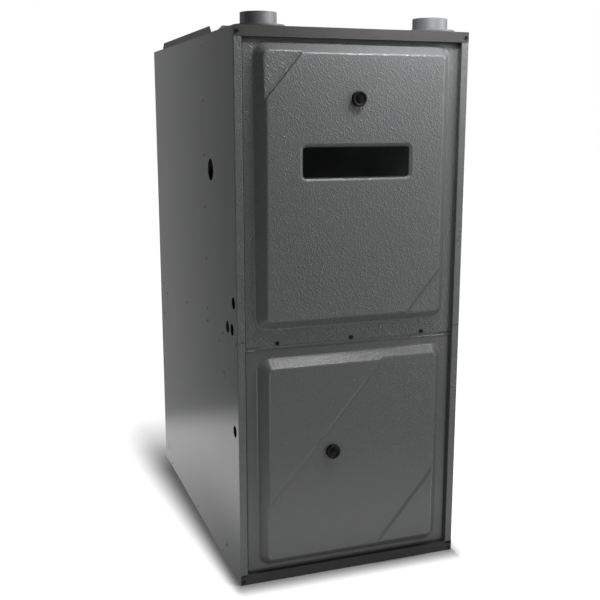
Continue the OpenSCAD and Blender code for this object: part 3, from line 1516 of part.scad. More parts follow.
module blower_wheel() color(zinc) translate([0, blower_y, blower_z]) rotate([0, 90, 0]) {
    half = wheel_w / 2;
    difference() {
        union() {
            translate([0, 0, -half]) linear_extrude(wheel_w)
                for (i = [0 : blade_count - 1]) rotate(i * 360 / blade_count) blade_arc();
            for (z = [-half, half - ring_t]) translate([0, 0, z]) linear_extrude(ring_t)
                ring(wheel_r, wheel_r - blade_depth);
            translate([0, 0, disc_x]) linear_extrude(disc_t) circle(wheel_r);
            translate([0, 0, disc_x]) cylinder(r = hub_r, h = hub_l);
        }
        translate([0, 0, disc_x - cut]) cylinder(r = shaft_r + shaft_fit, h = hub_l + 2 * cut);
    }
}

module blower_shaft() color(steel)
    translate([disc_x - 4, blower_y, blower_z]) rod_x(shaft_r, motor_x0 + shaft_in - disc_x + 4);

module blower_motor() color("#33363a") translate([motor_x0, blower_y, blower_z]) difference() {
    bell = 12;
    vents = 12;
    union() {
        rod_x(motor_r - 8, motor_l);
        translate([bell, 0, 0]) rod_x(motor_r, motor_l - 2 * bell);
        translate([motor_l - bell - 1, 0, 0]) rotate([0, 90, 0])
            cylinder(r1 = motor_r, r2 = motor_r - 10, h = bell);
        translate([-4, 0, 0]) rod_x(16, 5);
    }
    translate([-4 - cut, 0, 0]) rod_x(shaft_r + shaft_fit, shaft_in + 4 + snug + cut);
    for (i = [0 : vents - 1]) rotate([i * 360 / vents, 0, 0])
        translate([-cut, -3, 30]) cube([8, 6, 22]);
}

// Clamp band with three arms to the inlet
module motor_mount() color(zinc) {
    side_face = housing_half;
    arm_out = inlet_r + inlet_lip + foot_l;
    translate([side_face - 8, blower_y, blower_z]) rotate([0, 90, 0]) linear_extrude(band_w)
        ring(motor_r + snug + band_t, motor_r + snug);
    arm_in = motor_r + snug + band_t / 2;
    for (i = [0 : arm_count - 1])
        translate([side_face, blower_y, blower_z]) rotate([i * 360 / arm_count, 0, 0])
            translate([0, -arm_w / 2, arm_in]) cube([arm_t, arm_w, arm_out - arm_in]);
    // clamp ears and bolt of the band
    translate([side_face + 4, blower_y, blower_z]) rotate([60, 0, 0])
        translate([0, -6, motor_r + band_t / 2]) cube([10, 12, 12]);
}

// ---------------------------------------------------------------- controls

module control_bracket() color(zinc) {
    low = board_z - 12;
    high = board_z + board_h + 12;
    translate([bracket_x0, bracket_y, low]) cube([bracket_x1 - bracket_x0, sheet, high - low]);
    for (x = [bracket_x0, bracket_x1 - sheet])
        translate([x, bracket_y, low + 20]) cube([sheet, bracket_arm_l, bracket_arm_h]);
    // stiffening lips
    for (z = [low, high - sheet])
        translate([bracket_x0, bracket_y, z]) cube([bracket_x1 - bracket_x0, 10, sheet]);
}

// Parts of the control board: width, height off the board, height
relay_size = [20, 15, 26];
relay_pitch = 26;
relay_z = 78;
plug_size = [10, 9, 9];
plug_pitch = 13;
strip_size = [40, 12, 14];
strip_x = 100;
fuse_size = [26, 8, 20];
fuse_x = 106;
chip_size = [18, 2.5, 18];
chip_x = 108;
press_in = 0.2;

// A block on the board's front, x and z from its lower left corner
module on_board(x, z, size) translate([board_x0 + x, board_y - size[1], board_z + z])
    cube([size[0], size[1] + press_in, size[2]]);

module control_board() color("#2f5a3c") {
    translate([board_x0, board_y, board_z]) cube([board_w, board_t, board_h]);
    for (x = [8, board_w - 8], z = [8, board_h - 8])
        translate([board_x0 + x, board_y + board_t - 0.1, board_z + z]) rod_y(3, standoff + 0.1);
    // relays, plugs, terminal strip, fuse holder, processor and status lamp
    for (i = [0 : 2]) on_board(14 + i * relay_pitch, relay_z, relay_size);
    for (i = [0 : 5]) on_board(12 + i * plug_pitch, 8, plug_size);
    on_board(strip_x, 12, strip_size);
    on_board(fuse_x, relay_z, fuse_size);
    on_board(chip_x, 46, chip_size);
    translate([lower_sight_x, board_y - 5, lower_sight_z]) rod_y(2.5, 5 + press_in);
}

module transformer() color("#4a4d50") {
    x0 = 52;
    z0 = board_z + 10;
    body_d = 44;
    translate([x0, bracket_y - body_d, z0]) cube([56, body_d - 2, 46]);
    translate([x0 + 10, bracket_y - body_d - 6, z0 - 5]) cube([36, body_d - 2, 56]);
    translate([x0 - 8, bracket_y - 2, z0 + 10]) cube([72, 2, 22]);
}

module door_switch() color("#e3e0d5") difference() {
    flange_y = behind_ledge + snug + sheet;
    union() {
        translate([switch_x - switch_w / 2, flange_y, switch_z - switch_h / 2])
            cube([switch_w, switch_d, switch_h]);
        for (x = [-7, 0, 7])
            translate([switch_x + x - 2, flange_y + switch_d - 0.2, switch_z - 0.4]) cube([4, 8, 0.8]);
    }
    translate([switch_x, flange_y - cut, switch_z]) rod_y(plunger_r + shaft_fit, switch_d - 3 + cut);
}

module door_switch_plunger() color("#b8322c") {
    flange_y = behind_ledge + snug + sheet;
    l = flange_y + switch_d - 4 - plunger_tip_y;
    translate([switch_x, plunger_tip_y, switch_z]) rod_y(plunger_r, l);
}

// ---------------------------------------------------------------- assembly

left_side_panel();
right_side_panel();
back_panel();
top_plate();
top_rail();
bottom_rail();
base_pan();
bottom_return_panel();
blower_deck();
vestibule_panel();
cabinet_screws();
side_rivets();
hole_plugs();
pipe_collars();
upper_door();
upper_door_insulation();
badge_plate();
door_screws();
upper_sight_bezel();
upper_sight_lens();
lower_door();
lower_door_insulation();
lower_sight_bezel();
lower_sight_lens();
burner_rack();
burners();
gas_manifold();
gas_orifices();
gas_valve();
gas_valve_knob();
igniter();
flame_sensor();
safety_switches();
left_reset_button();
right_reset_button();
collector_box();
inducer_housing();
inducer_wheel();
inducer_shaft();
inducer_motor();
inducer_cooling_fan();
vent_pipe();
pressure_switch();
pressure_hose();
condensate_trap();
drain_hose();
primary_tubes();
rear_header();
secondary_coil();
coil_fins();
blower_housing();
blower_wheel();
blower_shaft();
blower_motor();
motor_mount();
control_bracket();
control_board();
transformer();
door_switch();
door_switch_plunger();
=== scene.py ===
# %% [markdown]
# # A two-door gas furnace, dressed for its portrait
# The construction comes as a finished frame: every sheet, pipe, wheel and screw is already there
# at its real size. This notebook gives the pieces their finishes, rolls the edges that a press
# and a brake would roll, and sets up the stage, the lamps and the camera. Lengths are metres, X
# runs to the viewer's right, Y runs to the back and Z points up.
#
# The frame is loaded first, and its box is kept. Its box is kept, because nothing added later
# may stick out of it.

# %% Load the frame
import math

import bmesh
import bpy
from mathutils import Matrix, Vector


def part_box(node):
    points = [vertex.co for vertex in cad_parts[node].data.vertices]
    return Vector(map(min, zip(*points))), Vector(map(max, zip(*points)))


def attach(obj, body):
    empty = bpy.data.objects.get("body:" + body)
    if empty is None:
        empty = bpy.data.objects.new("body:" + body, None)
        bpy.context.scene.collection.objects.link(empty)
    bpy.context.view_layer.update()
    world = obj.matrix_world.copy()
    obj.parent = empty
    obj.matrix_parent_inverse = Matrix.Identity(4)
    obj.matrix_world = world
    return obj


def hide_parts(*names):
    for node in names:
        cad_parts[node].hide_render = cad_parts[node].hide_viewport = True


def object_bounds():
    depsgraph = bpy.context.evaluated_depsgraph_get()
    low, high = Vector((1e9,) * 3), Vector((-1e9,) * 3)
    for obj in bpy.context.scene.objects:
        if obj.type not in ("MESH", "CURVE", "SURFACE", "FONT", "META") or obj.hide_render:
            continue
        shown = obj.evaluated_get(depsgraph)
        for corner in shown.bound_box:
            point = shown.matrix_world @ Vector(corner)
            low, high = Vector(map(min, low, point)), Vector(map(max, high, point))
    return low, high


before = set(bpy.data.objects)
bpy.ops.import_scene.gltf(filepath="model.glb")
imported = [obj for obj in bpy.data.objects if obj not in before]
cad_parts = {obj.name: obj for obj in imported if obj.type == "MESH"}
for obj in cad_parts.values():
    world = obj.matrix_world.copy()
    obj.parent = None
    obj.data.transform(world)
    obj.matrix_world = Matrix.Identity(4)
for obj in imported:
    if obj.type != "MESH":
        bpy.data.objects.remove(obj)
cad_low, cad_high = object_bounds()
MM = 0.001

STRIP_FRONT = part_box("left_side_panel")[0].y
print("strips at", round(STRIP_FRONT, 4), "box", cad_low, cad_high)

# %% [markdown]
# ## Colours and nodes
# Colours are written the way a paint chart or a web page gives them, as sRGB hex values. A
# renderer adds light, so it needs linear numbers, and one function turns the one into the other.
# A second small function adds a shader node with its settings and its links in one line. A third
# starts a material: one Principled shader, its output, and the object's own coordinates, which
# stay with a piece when it moves. Everything below is built with these three.

# %% Colour and node helpers
def linear(code):
    """Linear red, green, blue and alpha of an sRGB hex colour such as #6f7575."""
    channels = [int(code[i:i + 2], 16) / 255 for i in (1, 3, 5)]
    return [c / 12.92 if c <= 0.04045 else ((c + 0.055) / 1.055) ** 2.4 for c in channels] + [1.0]


def add(tree, kind, inputs=None, **settings):
    """Adds a shader node. inputs maps a socket's name or number to a value or a socket."""
    node = tree.nodes.new("ShaderNode" + kind)
    for name, value in settings.items():
        setattr(node, name, value)
    for key, value in (inputs or {}).items():
        if isinstance(value, bpy.types.NodeSocket):
            tree.links.new(value, node.inputs[key])
        else:
            node.inputs[key].default_value = value
    return node


def start_material(name, colour, **sockets):
    """A material with one Principled shader: the material, its tree, shader and object place."""
    material = bpy.data.materials.new(name)
    material.use_nodes = True
    tree = material.node_tree
    tree.nodes.clear()
    plain = {key.replace("_", " "): value for key, value in sockets.items()}
    shader = add(tree, "BsdfPrincipled", {"Base Color": linear(colour), **plain})
    add(tree, "OutputMaterial", {"Surface": shader.outputs["BSDF"]})
    place = add(tree, "TexCoord").outputs["Object"]
    return material, tree, shader, place


print("mid grey #808080 in linear light:", round(linear("#808080")[0], 3))

# %% [markdown]
# ## Wrinkle enamel on the doors and strips
# The doors and the two front strips are steel with a baked wrinkle enamel: the coat shrinks as it
# cures and leaves short wavy ridges, a few millimetres apart, that run down to the right. The eye
# sees a matt charcoal grey with many small glints where light comes from above. As real relief the
# ridges would cost millions of faces, so they are a bump. A noise stretched along the ridges
# swings about its middle value, and the distance from that value gives round tops with sharp
# creases between them. A finer noise adds the orange peel of the coat, and the creases are painted
# a little darker, as painted shade.
#
# The lower door's coat is much flatter than the upper one's, so it has an enamel of its own with
# less depth.

# %% Wrinkle enamel
RIDGE_SPACING = 3.8 * MM
RIDGE_LENGTH = 7 * MM
RIDGE_TURN = math.radians(40)
# The painted crease shade fades out over this swing of the noise.
CREASE_SWING = 0.12  # swing of the noise over which a crease lightens to a top
COAT_PEEL = 2.2 * MM
COAT_PEEL_DEPTH = 0.3 * MM


def wrinkle_enamel(name, colour, crease_shade_colour, depth):
    material, tree, shader, place = start_material(
        name, colour, Roughness=0.32, Specular_IOR_Level=0.5)
    ridges = add(tree, "Mapping", {
        "Vector": place,
        "Rotation": (0, RIDGE_TURN, 0),
        "Scale": (RIDGE_LENGTH, RIDGE_LENGTH, RIDGE_SPACING)}, vector_type="TEXTURE")
    wrinkles = add(tree, "TexNoise", {
        "Vector": ridges.outputs[0], "Scale": 1.0, "Detail": 1.5, "Roughness": 0.45,
        "Distortion": 0.5})
    peel = add(tree, "TexNoise", {"Vector": place, "Scale": 1 / COAT_PEEL, "Detail": 1.0})
    swing = add(tree, "Math", {0: wrinkles.outputs["Fac"], 1: 0.5}, operation="SUBTRACT")
    creases = add(tree, "Math", {0: swing.outputs[0]}, operation="ABSOLUTE")
    wrinkle_bump = add(tree, "Bump", {
        "Height": creases.outputs[0], "Strength": 1.0, "Distance": depth})
    bump = add(tree, "Bump", {
        "Height": peel.outputs["Fac"], "Strength": 1.0, "Distance": COAT_PEEL_DEPTH,
        "Normal": wrinkle_bump.outputs[0]})
    # Painted shade: the darker crease grey goes into the creases.
    painted_crease_shade = add(tree, "MapRange", {"Value": creases.outputs[0], "From Max": CREASE_SWING})
    tint = add(tree, "Mix", {
        "Factor": painted_crease_shade.outputs[0], 6: linear(crease_shade_colour), 7: linear(colour)},
        data_type="RGBA")
    tree.links.new(tint.outputs[2], shader.inputs["Base Color"])
    tree.links.new(bump.outputs[0], shader.inputs["Normal"])
    return material


# The second grey of each enamel is the painted shade in its creases.
door_enamel = wrinkle_enamel("wrinkle_enamel_charcoal", "#5f6161", "#5b5d5d", 1.7 * MM)
shallow_enamel = wrinkle_enamel("wrinkle_enamel_shallow", "#5e5f5f", "#5c5d5d", 0.75 * MM)
print("enamel ridges", RIDGE_SPACING, "apart and", RIDGE_LENGTH, "long")

# %% [markdown]
# ## Smooth paint on the sides and the rails
# The sides carry much the same grey, but as a smooth satin paint, so they mirror the floor softly
# near the bottom. Rolled sheet is never quite flat: a slow, wide wave in the bump bends that
# reflection a little. The rails are darker and more matt. Each paint gets a cloud in its
# roughness, as handling and dust leave on a real cabinet. On the sides the cloud is very faint,
# because seen at a low angle a stronger one would break the reflection into streaks.

# %% Smooth paints
SHEET_WAVE = 350 * MM
SPRAY_PEEL = 1.5 * MM
SPRAY_PEEL_DEPTH = 0.05 * MM
DUST_PATCH = 50 * MM


def smooth_paint(name, colour, roughness, wave, cloud=0.05):
    material, tree, shader, place = start_material(name, colour, Specular_IOR_Level=0.5)
    oil_can = add(tree, "TexNoise", {"Vector": place, "Scale": 1 / SHEET_WAVE, "Detail": 1.0})
    peel = add(tree, "TexNoise", {"Vector": place, "Scale": 1 / SPRAY_PEEL, "Detail": 1.0})
    sheet_bump = add(tree, "Bump", {
        "Height": oil_can.outputs["Fac"], "Strength": 1.0, "Distance": wave})
    bump = add(tree, "Bump", {
        "Height": peel.outputs["Fac"], "Strength": 0.25, "Distance": SPRAY_PEEL_DEPTH,
        "Normal": sheet_bump.outputs[0]})
    dust = add(tree, "TexNoise", {"Vector": place, "Scale": 1 / DUST_PATCH, "Detail": 4.0})
    rough = add(tree, "MapRange", {
        "Value": dust.outputs["Fac"], "From Min": 0.3, "From Max": 0.7,
        "To Min": roughness - cloud, "To Max": roughness + cloud})
    tree.links.new(rough.outputs[0], shader.inputs["Roughness"])
    tree.links.new(bump.outputs[0], shader.inputs["Normal"])
    return material


side_paint = smooth_paint("satin_paint_grey", "#545657", 0.25, 0.1 * MM, cloud=0.006)
rail_paint = smooth_paint("satin_paint_charcoal", "#323130", 0.75, 0.02 * MM)
flange_paint = smooth_paint("satin_paint_dark", "#5a5b5b", 0.42, 0.2 * MM)
motor_paint = smooth_paint("satin_paint_black", "#2c2f32", 0.4, 0.1 * MM)
print("paints:", *[coat.name for coat in (side_paint, rail_paint, flange_paint, motor_paint)])

# %% [markdown]
# ## Zinc, steel, aluminium and brass
# Hot-dip galvanised sheet shows a spangle: flat crystals some 8 mm wide, each with its own grey
# and its own gloss. A Voronoi texture gives just such cells. All of these are full metals, so
# their colour is their reflection.

# %% Galvanised sheet
SPANGLE = 8 * MM


def spangled_zinc(name, light, dark):
    material, tree, shader, place = start_material(name, light, Metallic=1.0)
    cells = add(tree, "TexVoronoi", {"Vector": place, "Scale": 1 / SPANGLE, "Randomness": 1.0})
    shade = add(tree, "SeparateColor", {"Color": cells.outputs["Color"]})
    tint = add(tree, "Mix", {
        "Factor": shade.outputs["Red"], 6: linear(dark), 7: linear(light)}, data_type="RGBA")
    rough = add(tree, "MapRange", {
        "Value": shade.outputs["Green"], "To Min": 0.32, "To Max": 0.5})
    tree.links.new(tint.outputs[2], shader.inputs["Base Color"])
    tree.links.new(rough.outputs[0], shader.inputs["Roughness"])
    return material


galvanised = spangled_zinc("galvanised_steel", "#b9bdbf", "#979c9f")
print("spangle", SPANGLE)

# %% [markdown]
# Aluminised tubes are whiter and plain, with fine streaks along the tube from drawing. Turned,
# rolled or drawn bright metals show the same streaks on another grey or on yellow, so one
# function makes them all: a noise stretched along one axis for the streaks, and a wide cloud for
# the stains that heat and handling leave.

# %% Drawn and turned metals
STREAK_WIDTH = 0.8 * MM
STREAK_SLIMNESS = 60
STREAK_DEPTH = 0.05 * MM
STAIN = 40 * MM


def streaked_metal(name, colour, worn, roughness, along="Y"):
    """Drawn metal, with streaks that run along one axis."""
    material, tree, shader, place = start_material(name, colour, Metallic=1.0)
    scale = [1 / STREAK_WIDTH] * 3
    scale["XYZ".index(along)] = 1 / (STREAK_SLIMNESS * STREAK_WIDTH)
    drawn = add(tree, "Mapping", {"Vector": place, "Scale": scale})
    streaks = add(tree, "TexNoise", {"Vector": drawn.outputs[0], "Scale": 1.0, "Detail": 2.0})
    cloud = add(tree, "TexNoise", {"Vector": place, "Scale": 1 / STAIN, "Detail": 3.0})
    tint = add(tree, "Mix", {
        "Factor": cloud.outputs["Fac"], 6: linear(colour), 7: linear(worn)}, data_type="RGBA")
    rough = add(tree, "MapRange", {
        "Value": streaks.outputs["Fac"], "From Min": 0.3, "From Max": 0.7,
        "To Min": roughness - 0.06, "To Max": roughness + 0.08})
    bump = add(tree, "Bump", {
        "Height": streaks.outputs["Fac"], "Strength": 0.2, "Distance": STREAK_DEPTH})
    tree.links.new(tint.outputs[2], shader.inputs["Base Color"])
    tree.links.new(rough.outputs[0], shader.inputs["Roughness"])
    tree.links.new(bump.outputs[0], shader.inputs["Normal"])
    return material


aluminised = streaked_metal("aluminised_steel", "#a5a7a6", "#8f8f8c", 0.42)
stainless = streaked_metal("stainless_steel", "#b5b5b2", "#a19f9a", 0.28)
bright_shaft = streaked_metal("ground_shaft_steel", "#a9abad", "#97999b", 0.2, along="X")
fin_aluminium = streaked_metal("rolled_fin_aluminium", "#c9cccd", "#bcbfc0", 0.3, along="X")
cast_aluminium = streaked_metal("die_cast_aluminium", "#aeb1b3", "#9b9ea0", 0.5)
brass = streaked_metal("turned_brass", "#c49a4a", "#b08538", 0.25)
black_iron = streaked_metal("black_pipe_steel", "#4a4c4e", "#3a3b3c", 0.45, along="X")
print("streaks", STREAK_WIDTH, "wide and", STREAK_SLIMNESS * STREAK_WIDTH, "long")

# %% [markdown]
# ## Plastics and rubber
# The moulded pieces differ in colour and in grain. A mould's spark-eroded surface leaves a fine,
# even grain, drawn 0.6 mm wide here so that it still shows. Extruded pipe and soft hose have a
# wider, slower grain, and gloss plastic hardly any. A wide cloud in the roughness stands for the
# way the melt flowed.

# %% Moulded finishes
MELT_FLOW = 60 * MM


def moulded(name, colour, roughness, grain=0.6 * MM, depth=0.04 * MM, **sockets):
    material, tree, shader, place = start_material(name, colour, **sockets)
    erosion = add(tree, "TexNoise", {"Vector": place, "Scale": 1 / grain, "Detail": 2.0})
    flow = add(tree, "TexNoise", {"Vector": place, "Scale": 1 / MELT_FLOW, "Detail": 2.0})
    rough = add(tree, "MapRange", {
        "Value": flow.outputs["Fac"], "From Min": 0.3, "From Max": 0.7,
        "To Min": roughness - 0.04, "To Max": roughness + 0.05})
    bump = add(tree, "Bump", {
        "Height": erosion.outputs["Fac"], "Strength": 0.6, "Distance": depth})
    tree.links.new(rough.outputs[0], shader.inputs["Roughness"])
    tree.links.new(bump.outputs[0], shader.inputs["Normal"])
    return material


collar_plastic = moulded("moulded_pvc_grey", "#56585a", 0.5)
pipe_plastic = moulded("extruded_pvc_white", "#d9d9d5", 0.35, grain=1.2 * MM)
black_plastic = moulded("moulded_polypropylene_black", "#1d1e20", 0.45)
bezel_plastic = moulded("moulded_abs_black", "#080808", 0.6, Specular_IOR_Level=0.25)
badge_plastic = moulded(
    "gloss_acrylic_black", "#070808", 0.22, depth=0.005 * MM, Specular_IOR_Level=0.3)
red_plastic = moulded("moulded_nylon_red", "#b8242a", 0.4)
ivory_plastic = moulded("moulded_nylon_ivory", "#ded9c8", 0.45)
ceramic = moulded("glazed_ceramic", "#e6e2d8", 0.22)
hose_rubber = moulded("extruded_rubber_black", "#161616", 0.6, grain=1.5 * MM)
board_lacquer = moulded("board_lacquer_green", "#2b5c3d", 0.3, grain=2.5 * MM, depth=0.08 * MM)
dark_screw_steel = moulded("blackened_screw_steel", "#252627", 0.4, Metallic=0.7)
print(len(bpy.data.materials), "materials so far")

# %% [markdown]
# ## Door insulation
# The doors are lined with a fibre board with a pale facing. Its fibres are long, thin and lie in
# all directions, so two stretched noises, each turned its own way, cross each other in its bump.

# %% Fibre board
FIBRE_LENGTH = 12 * MM
FIBRE_WIDTH = 0.9 * MM
FIBRE_LAYER = 10 / 3 * MM  # the spacing of the layers, through the board
FIBRE_TURNS = 0.5, -0.9


def fibre_board(name, colour, shade):
    material, tree, shader, place = start_material(name, colour, Roughness=0.9)
    bumps = None
    fibres = []
    for turn in FIBRE_TURNS:
        lay = add(tree, "Mapping", {
            "Vector": place, "Rotation": (0, turn, 0),
            "Scale": (1 / FIBRE_LENGTH, 1 / FIBRE_LAYER, 1 / FIBRE_WIDTH)})
        fibres.append(add(tree, "TexNoise", {
            "Vector": lay.outputs[0], "Scale": 1.0, "Detail": 2.0}))
        inputs = {"Height": fibres[-1].outputs["Fac"], "Strength": 0.7, "Distance": 0.4 * MM}
        if bumps:
            inputs["Normal"] = bumps.outputs[0]
        bumps = add(tree, "Bump", inputs)
    tint = add(tree, "Mix", {
        "Factor": fibres[0].outputs["Fac"], 6: linear(shade), 7: linear(colour)},
        data_type="RGBA")
    tree.links.new(tint.outputs[2], shader.inputs["Base Color"])
    tree.links.new(bumps.outputs[0], shader.inputs["Normal"])
    return material


insulation = fibre_board("faced_fibre_board", "#c8c5b8", "#a9a698")
print("fibres", FIBRE_LENGTH, "long and", FIBRE_WIDTH, "wide")

# %% [markdown]
# ## Tinted sight glass
# Behind each sight glass the burner box or the control bay is dark, and the lens is tinted, so
# from outside it reads as a black disc. Its near-black colour is that tint and also painted shade
# for the dark bay: a dark dielectric with a little transmission hides the inside, and still lets a
# flame behind it glow through. The lens is frosted a little and its specular level is low, because
# a clear one would mirror the white room as a bright spot.

# %% Sight glass
# The lens's near-black colour is its tint plus painted shade for the dark bay behind it.
sight_glass, _, _, _ = start_material(
    "tinted_and_shade_painted_glass", "#050506", Roughness=0.4, IOR=1.5, Transmission_Weight=0.08,
    Specular_IOR_Level=0.15)
print("sight glass:", sight_glass.name)

# %% [markdown]
# ## Flat faces and curved bends
# Plain smooth shading spreads the shade of a bend over the whole face beside it, and a wide flat
# door would then look dented. So each corner's normal is the mean of the faces around it,
# weighted by their area: the wide faces win and stay flat, and only the narrow faces of a bend
# curve. Faces that meet at more than a limit keep a crisp edge.

# %% Corner normals
def keep_faces_flat(mesh, smooth_to):
    """Corner normals weighted by face area, for faces that meet at less than smooth_to."""
    around = [[] for _ in mesh.vertices]
    for face in mesh.polygons:
        for vertex in face.vertices:
            around[vertex].append(face)
    limit = math.cos(math.radians(smooth_to))
    normals = []
    for face in mesh.polygons:
        for vertex in face.vertices:
            blend = Vector()
            for other in around[vertex]:
                if other.normal.dot(face.normal) > limit:
                    blend += other.normal * other.area
            normals.append(blend.normalized() if blend.length else face.normal)
    mesh.normals_split_custom_set(normals)


print("corner normals are weighted by area")

# %% [markdown]
# ## Softening the pressed edges
# Sheet metal never has knife edges, and it is the rounded bends that catch the light and draw the
# furnace's lines. The frame's solids have sharp bends, so a copy of the mesh is welded, its flat
# triangles are merged into whole faces, and bmesh's bevel rolls the chosen edges. Only bends on
# the outside are rolled, because the inside of a 1 mm sheet leaves no room for them. A face with
# a hole in it can't be merged whole, so planes through the holes cut it into plain outlines. A
# Bevel modifier could roll edges by their angle alone, but each bend here has its own radius.

# %% Rolled edges
WELD = 0.002 * MM
PLANE_REACH = 0.001 * MM
FLAT_TO = math.radians(0.6)
BENT_FROM = math.radians(14)


def softened_shape(source, cuts, rolls, first):
    """The welded shape of a mesh, with planes cut, flat faces merged and edges rolled."""
    shape = bmesh.new()
    shape.from_mesh(source)
    bmesh.ops.remove_doubles(shape, verts=shape.verts, dist=WELD)
    for axis, place in cuts:
        normal = Vector([float(letter == axis) for letter in "xyz"])
        made = bmesh.ops.bisect_plane(
            shape, geom=shape.verts[:] + shape.edges[:] + shape.faces[:], dist=PLANE_REACH,
            plane_co=normal * place, plane_no=normal)
        for item in made["geom_cut"]:
            if isinstance(item, bmesh.types.BMEdge):
                item.seam = True
    bmesh.ops.dissolve_limit(
        shape, angle_limit=FLAT_TO, verts=shape.verts, edges=shape.edges, delimit={"SEAM"})
    if first:
        first(shape)
    for chooser, radius, segments in rolls:
        bends = [
            edge for edge in shape.edges
            if edge.is_manifold and edge.calc_face_angle(0) > BENT_FROM and chooser(edge)]
        bmesh.ops.bevel(
            shape, geom=bends, offset=radius, offset_type="OFFSET", segments=segments,
            profile=0.5, affect="EDGES", clamp_overlap=False, loop_slide=False, material=-1)
        shape.normal_update()
    return shape


print("edges that bend by more than", round(math.degrees(BENT_FROM)), "degrees can be rolled")

# %% [markdown]
# ## Pieces that stand for the frame's nodes
# The frame's own meshes are never changed. A softened copy becomes a piece of its own, rides on
# the body that the node rides on, and stands in for that node, which then hides.

# %% Copies and their paint
CRISP_FROM = 35.0


def stand_in(name, mesh, body, node):
    """Makes a finished mesh a piece that rides on a body and stands for a CAD node."""
    piece = bpy.data.objects.new(name, mesh)
    bpy.context.scene.collection.objects.link(piece)
    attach(piece, body)
    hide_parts(node)
    print(name, len(mesh.polygons), "faces")
    return piece


def softened(name, node, body, cuts, rolls, first=None):
    """A welded copy of a CAD node with rolled edges.

    cuts lists (axis, place) planes, and rolls lists (chooser of edges, radius, segments). first
    may work on the welded shape before its edges are rolled.
    """
    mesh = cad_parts[node].data.copy()
    mesh.name = name
    shape = softened_shape(mesh, cuts, rolls, first)
    shape.to_mesh(mesh)
    shape.free()
    mesh.shade_smooth()
    keep_faces_flat(mesh, CRISP_FROM)
    return stand_in(name, mesh, body, node)


def paint(piece, material):
    """Gives a piece one material."""
    piece.data.materials.clear()
    piece.data.materials.append(material)


print("copies keep an edge crisp from", CRISP_FROM, "degrees")

# %% [markdown]
# ## Choosing bends
# Nobody picks edges by hand here. A chooser looks at an edge and at the two faces that meet
# there. A normal's Y tells how a face looks: -1 straight to the front, 0 to a side, up or down.

# %% Choosers that several pieces share
LOOKS_AHEAD = -0.95
LOOKS_OUT = -0.3
LOOKS_ASIDE = 0.05


def outer_fold(edge):
    """A fold between a face that looks ahead and one that looks to a side, up or down."""
    looks = sorted(face.normal.y for face in edge.link_faces)
    return looks[0] < LOOKS_AHEAD and abs(looks[1]) < LOOKS_ASIDE


def outward(edge):
    """Both faces look out of the door, more or less."""
    return all(face.normal.y < LOOKS_OUT for face in edge.link_faces)


def middle(node):
    low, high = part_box(node)
    return (low + high) / 2


print("the badge plate's middle:", middle("badge_plate"))

# %% [markdown]
# ## Diagonal steps
# The raised pan of each door has two levels, which meet at diagonal steps. Such a step is a long
# narrow face, turned by some 45 degrees. The upper door's upper left one is the crispest of all:
# in the photograph its wall stands nearly upright and shows as a thin line. The solid's wall
# slopes, so its upper bend is slid towards its foot, along the edges of the pan, before any edge
# is rolled. A steep wall then gets tight bends and a sloping one wide bends.

# %% Steps in the pan
STEP_LENGTH = 40 * MM
STEP_TURNED = 0.4
STEP_DRAW = 3 * MM
STEEP_WALL = -0.5
UPRIGHT_WALL = -0.1
ALONG_AXIS = 0.99999
SAME_DEPTH = 0.01 * MM


def is_step(face):
    """The narrow diagonal faces between the two levels of the pan."""
    long_side = max(edge.calc_length() for edge in face.edges)
    tilt = face.normal
    turned_by = min(abs(tilt.x), abs(tilt.z))
    return tilt.y < UPRIGHT_WALL and turned_by > STEP_TURNED and long_side > STEP_LENGTH


def steepen(shape):
    """Slides the upper bend of the left-facing step towards its foot, along the pan's edges."""
    moved = set()
    for face in [face for face in shape.faces if is_step(face) and face.normal.x < 0]:
        across = Vector((face.normal.x, 0, face.normal.z)).normalized()
        top = min(vertex.co.y for vertex in face.verts)
        for vertex in face.verts:
            if vertex.co.y > top + SAME_DEPTH or vertex in moved:
                continue
            for edge in vertex.link_edges:
                along = (edge.other_vert(vertex).co - vertex.co).normalized()
                if max(abs(along.x), abs(along.z)) > ALONG_AXIS:
                    vertex.co += along * (STEP_DRAW / across.dot(along))
                    moved.add(vertex)
                    break
    print("step corners moved:", len(moved))


def on_step(edge):
    """The two long bends of a diagonal step."""
    return edge.calc_length() > STEP_LENGTH and any(is_step(face) for face in edge.link_faces)


def on_sharp_step(edge):
    """The bends of the step that is nearly upright."""
    return on_step(edge) and any(
        STEEP_WALL < face.normal.y < UPRIGHT_WALL for face in edge.link_faces)


def on_soft_step(edge):
    return on_step(edge) and not on_sharp_step(edge)


print("the crisp step is drawn in by", STEP_DRAW)

# %% [markdown]
# ## The pressed doors
# Each door is one sheet drawn in a press: a wide soft bend leads from the margin up to the raised
# pan, and a second one rounds its top edge. The deeper the draw, the wider the bend: the pan's
# bends are 2.6 mm in radius, those of the shallow badge pocket under 1 mm. The outer edge, folded
# on a brake, is tighter still. The steps come last, when the bends of the pan that their ends run
# into are round already.

# %% Doors
FOLD_RADIUS = 0.4 * MM
POCKET_RADIUS = 0.8 * MM
PRESS_RADIUS = 2.6 * MM
SOFT_STEP_RADIUS = 1.5 * MM
STEP_RADIUS = 0.3 * MM
FOLD_DEPTH = 9 * MM
POCKET_HALF = 125 * MM, 50 * MM
SCREW_WASHER_R = 3.6 * MM
PAN_FOOT_X = 175 * MM


def door_fold(edge):
    """The outer fold, between the margin and the side returns."""
    return outer_fold(edge) and max(v.co.y for v in edge.verts) < STRIP_FRONT + FOLD_DEPTH


def in_pocket(edge):
    """Bends of the badge pocket, which are tighter."""
    spot = (edge.verts[0].co + edge.verts[1].co) / 2 - middle("badge_plate")
    return abs(spot.x) < POCKET_HALF[0] and abs(spot.z) < POCKET_HALF[1] and outward(edge)


def on_pan(edge):
    return outward(edge) and not (on_step(edge) or in_pocket(edge))


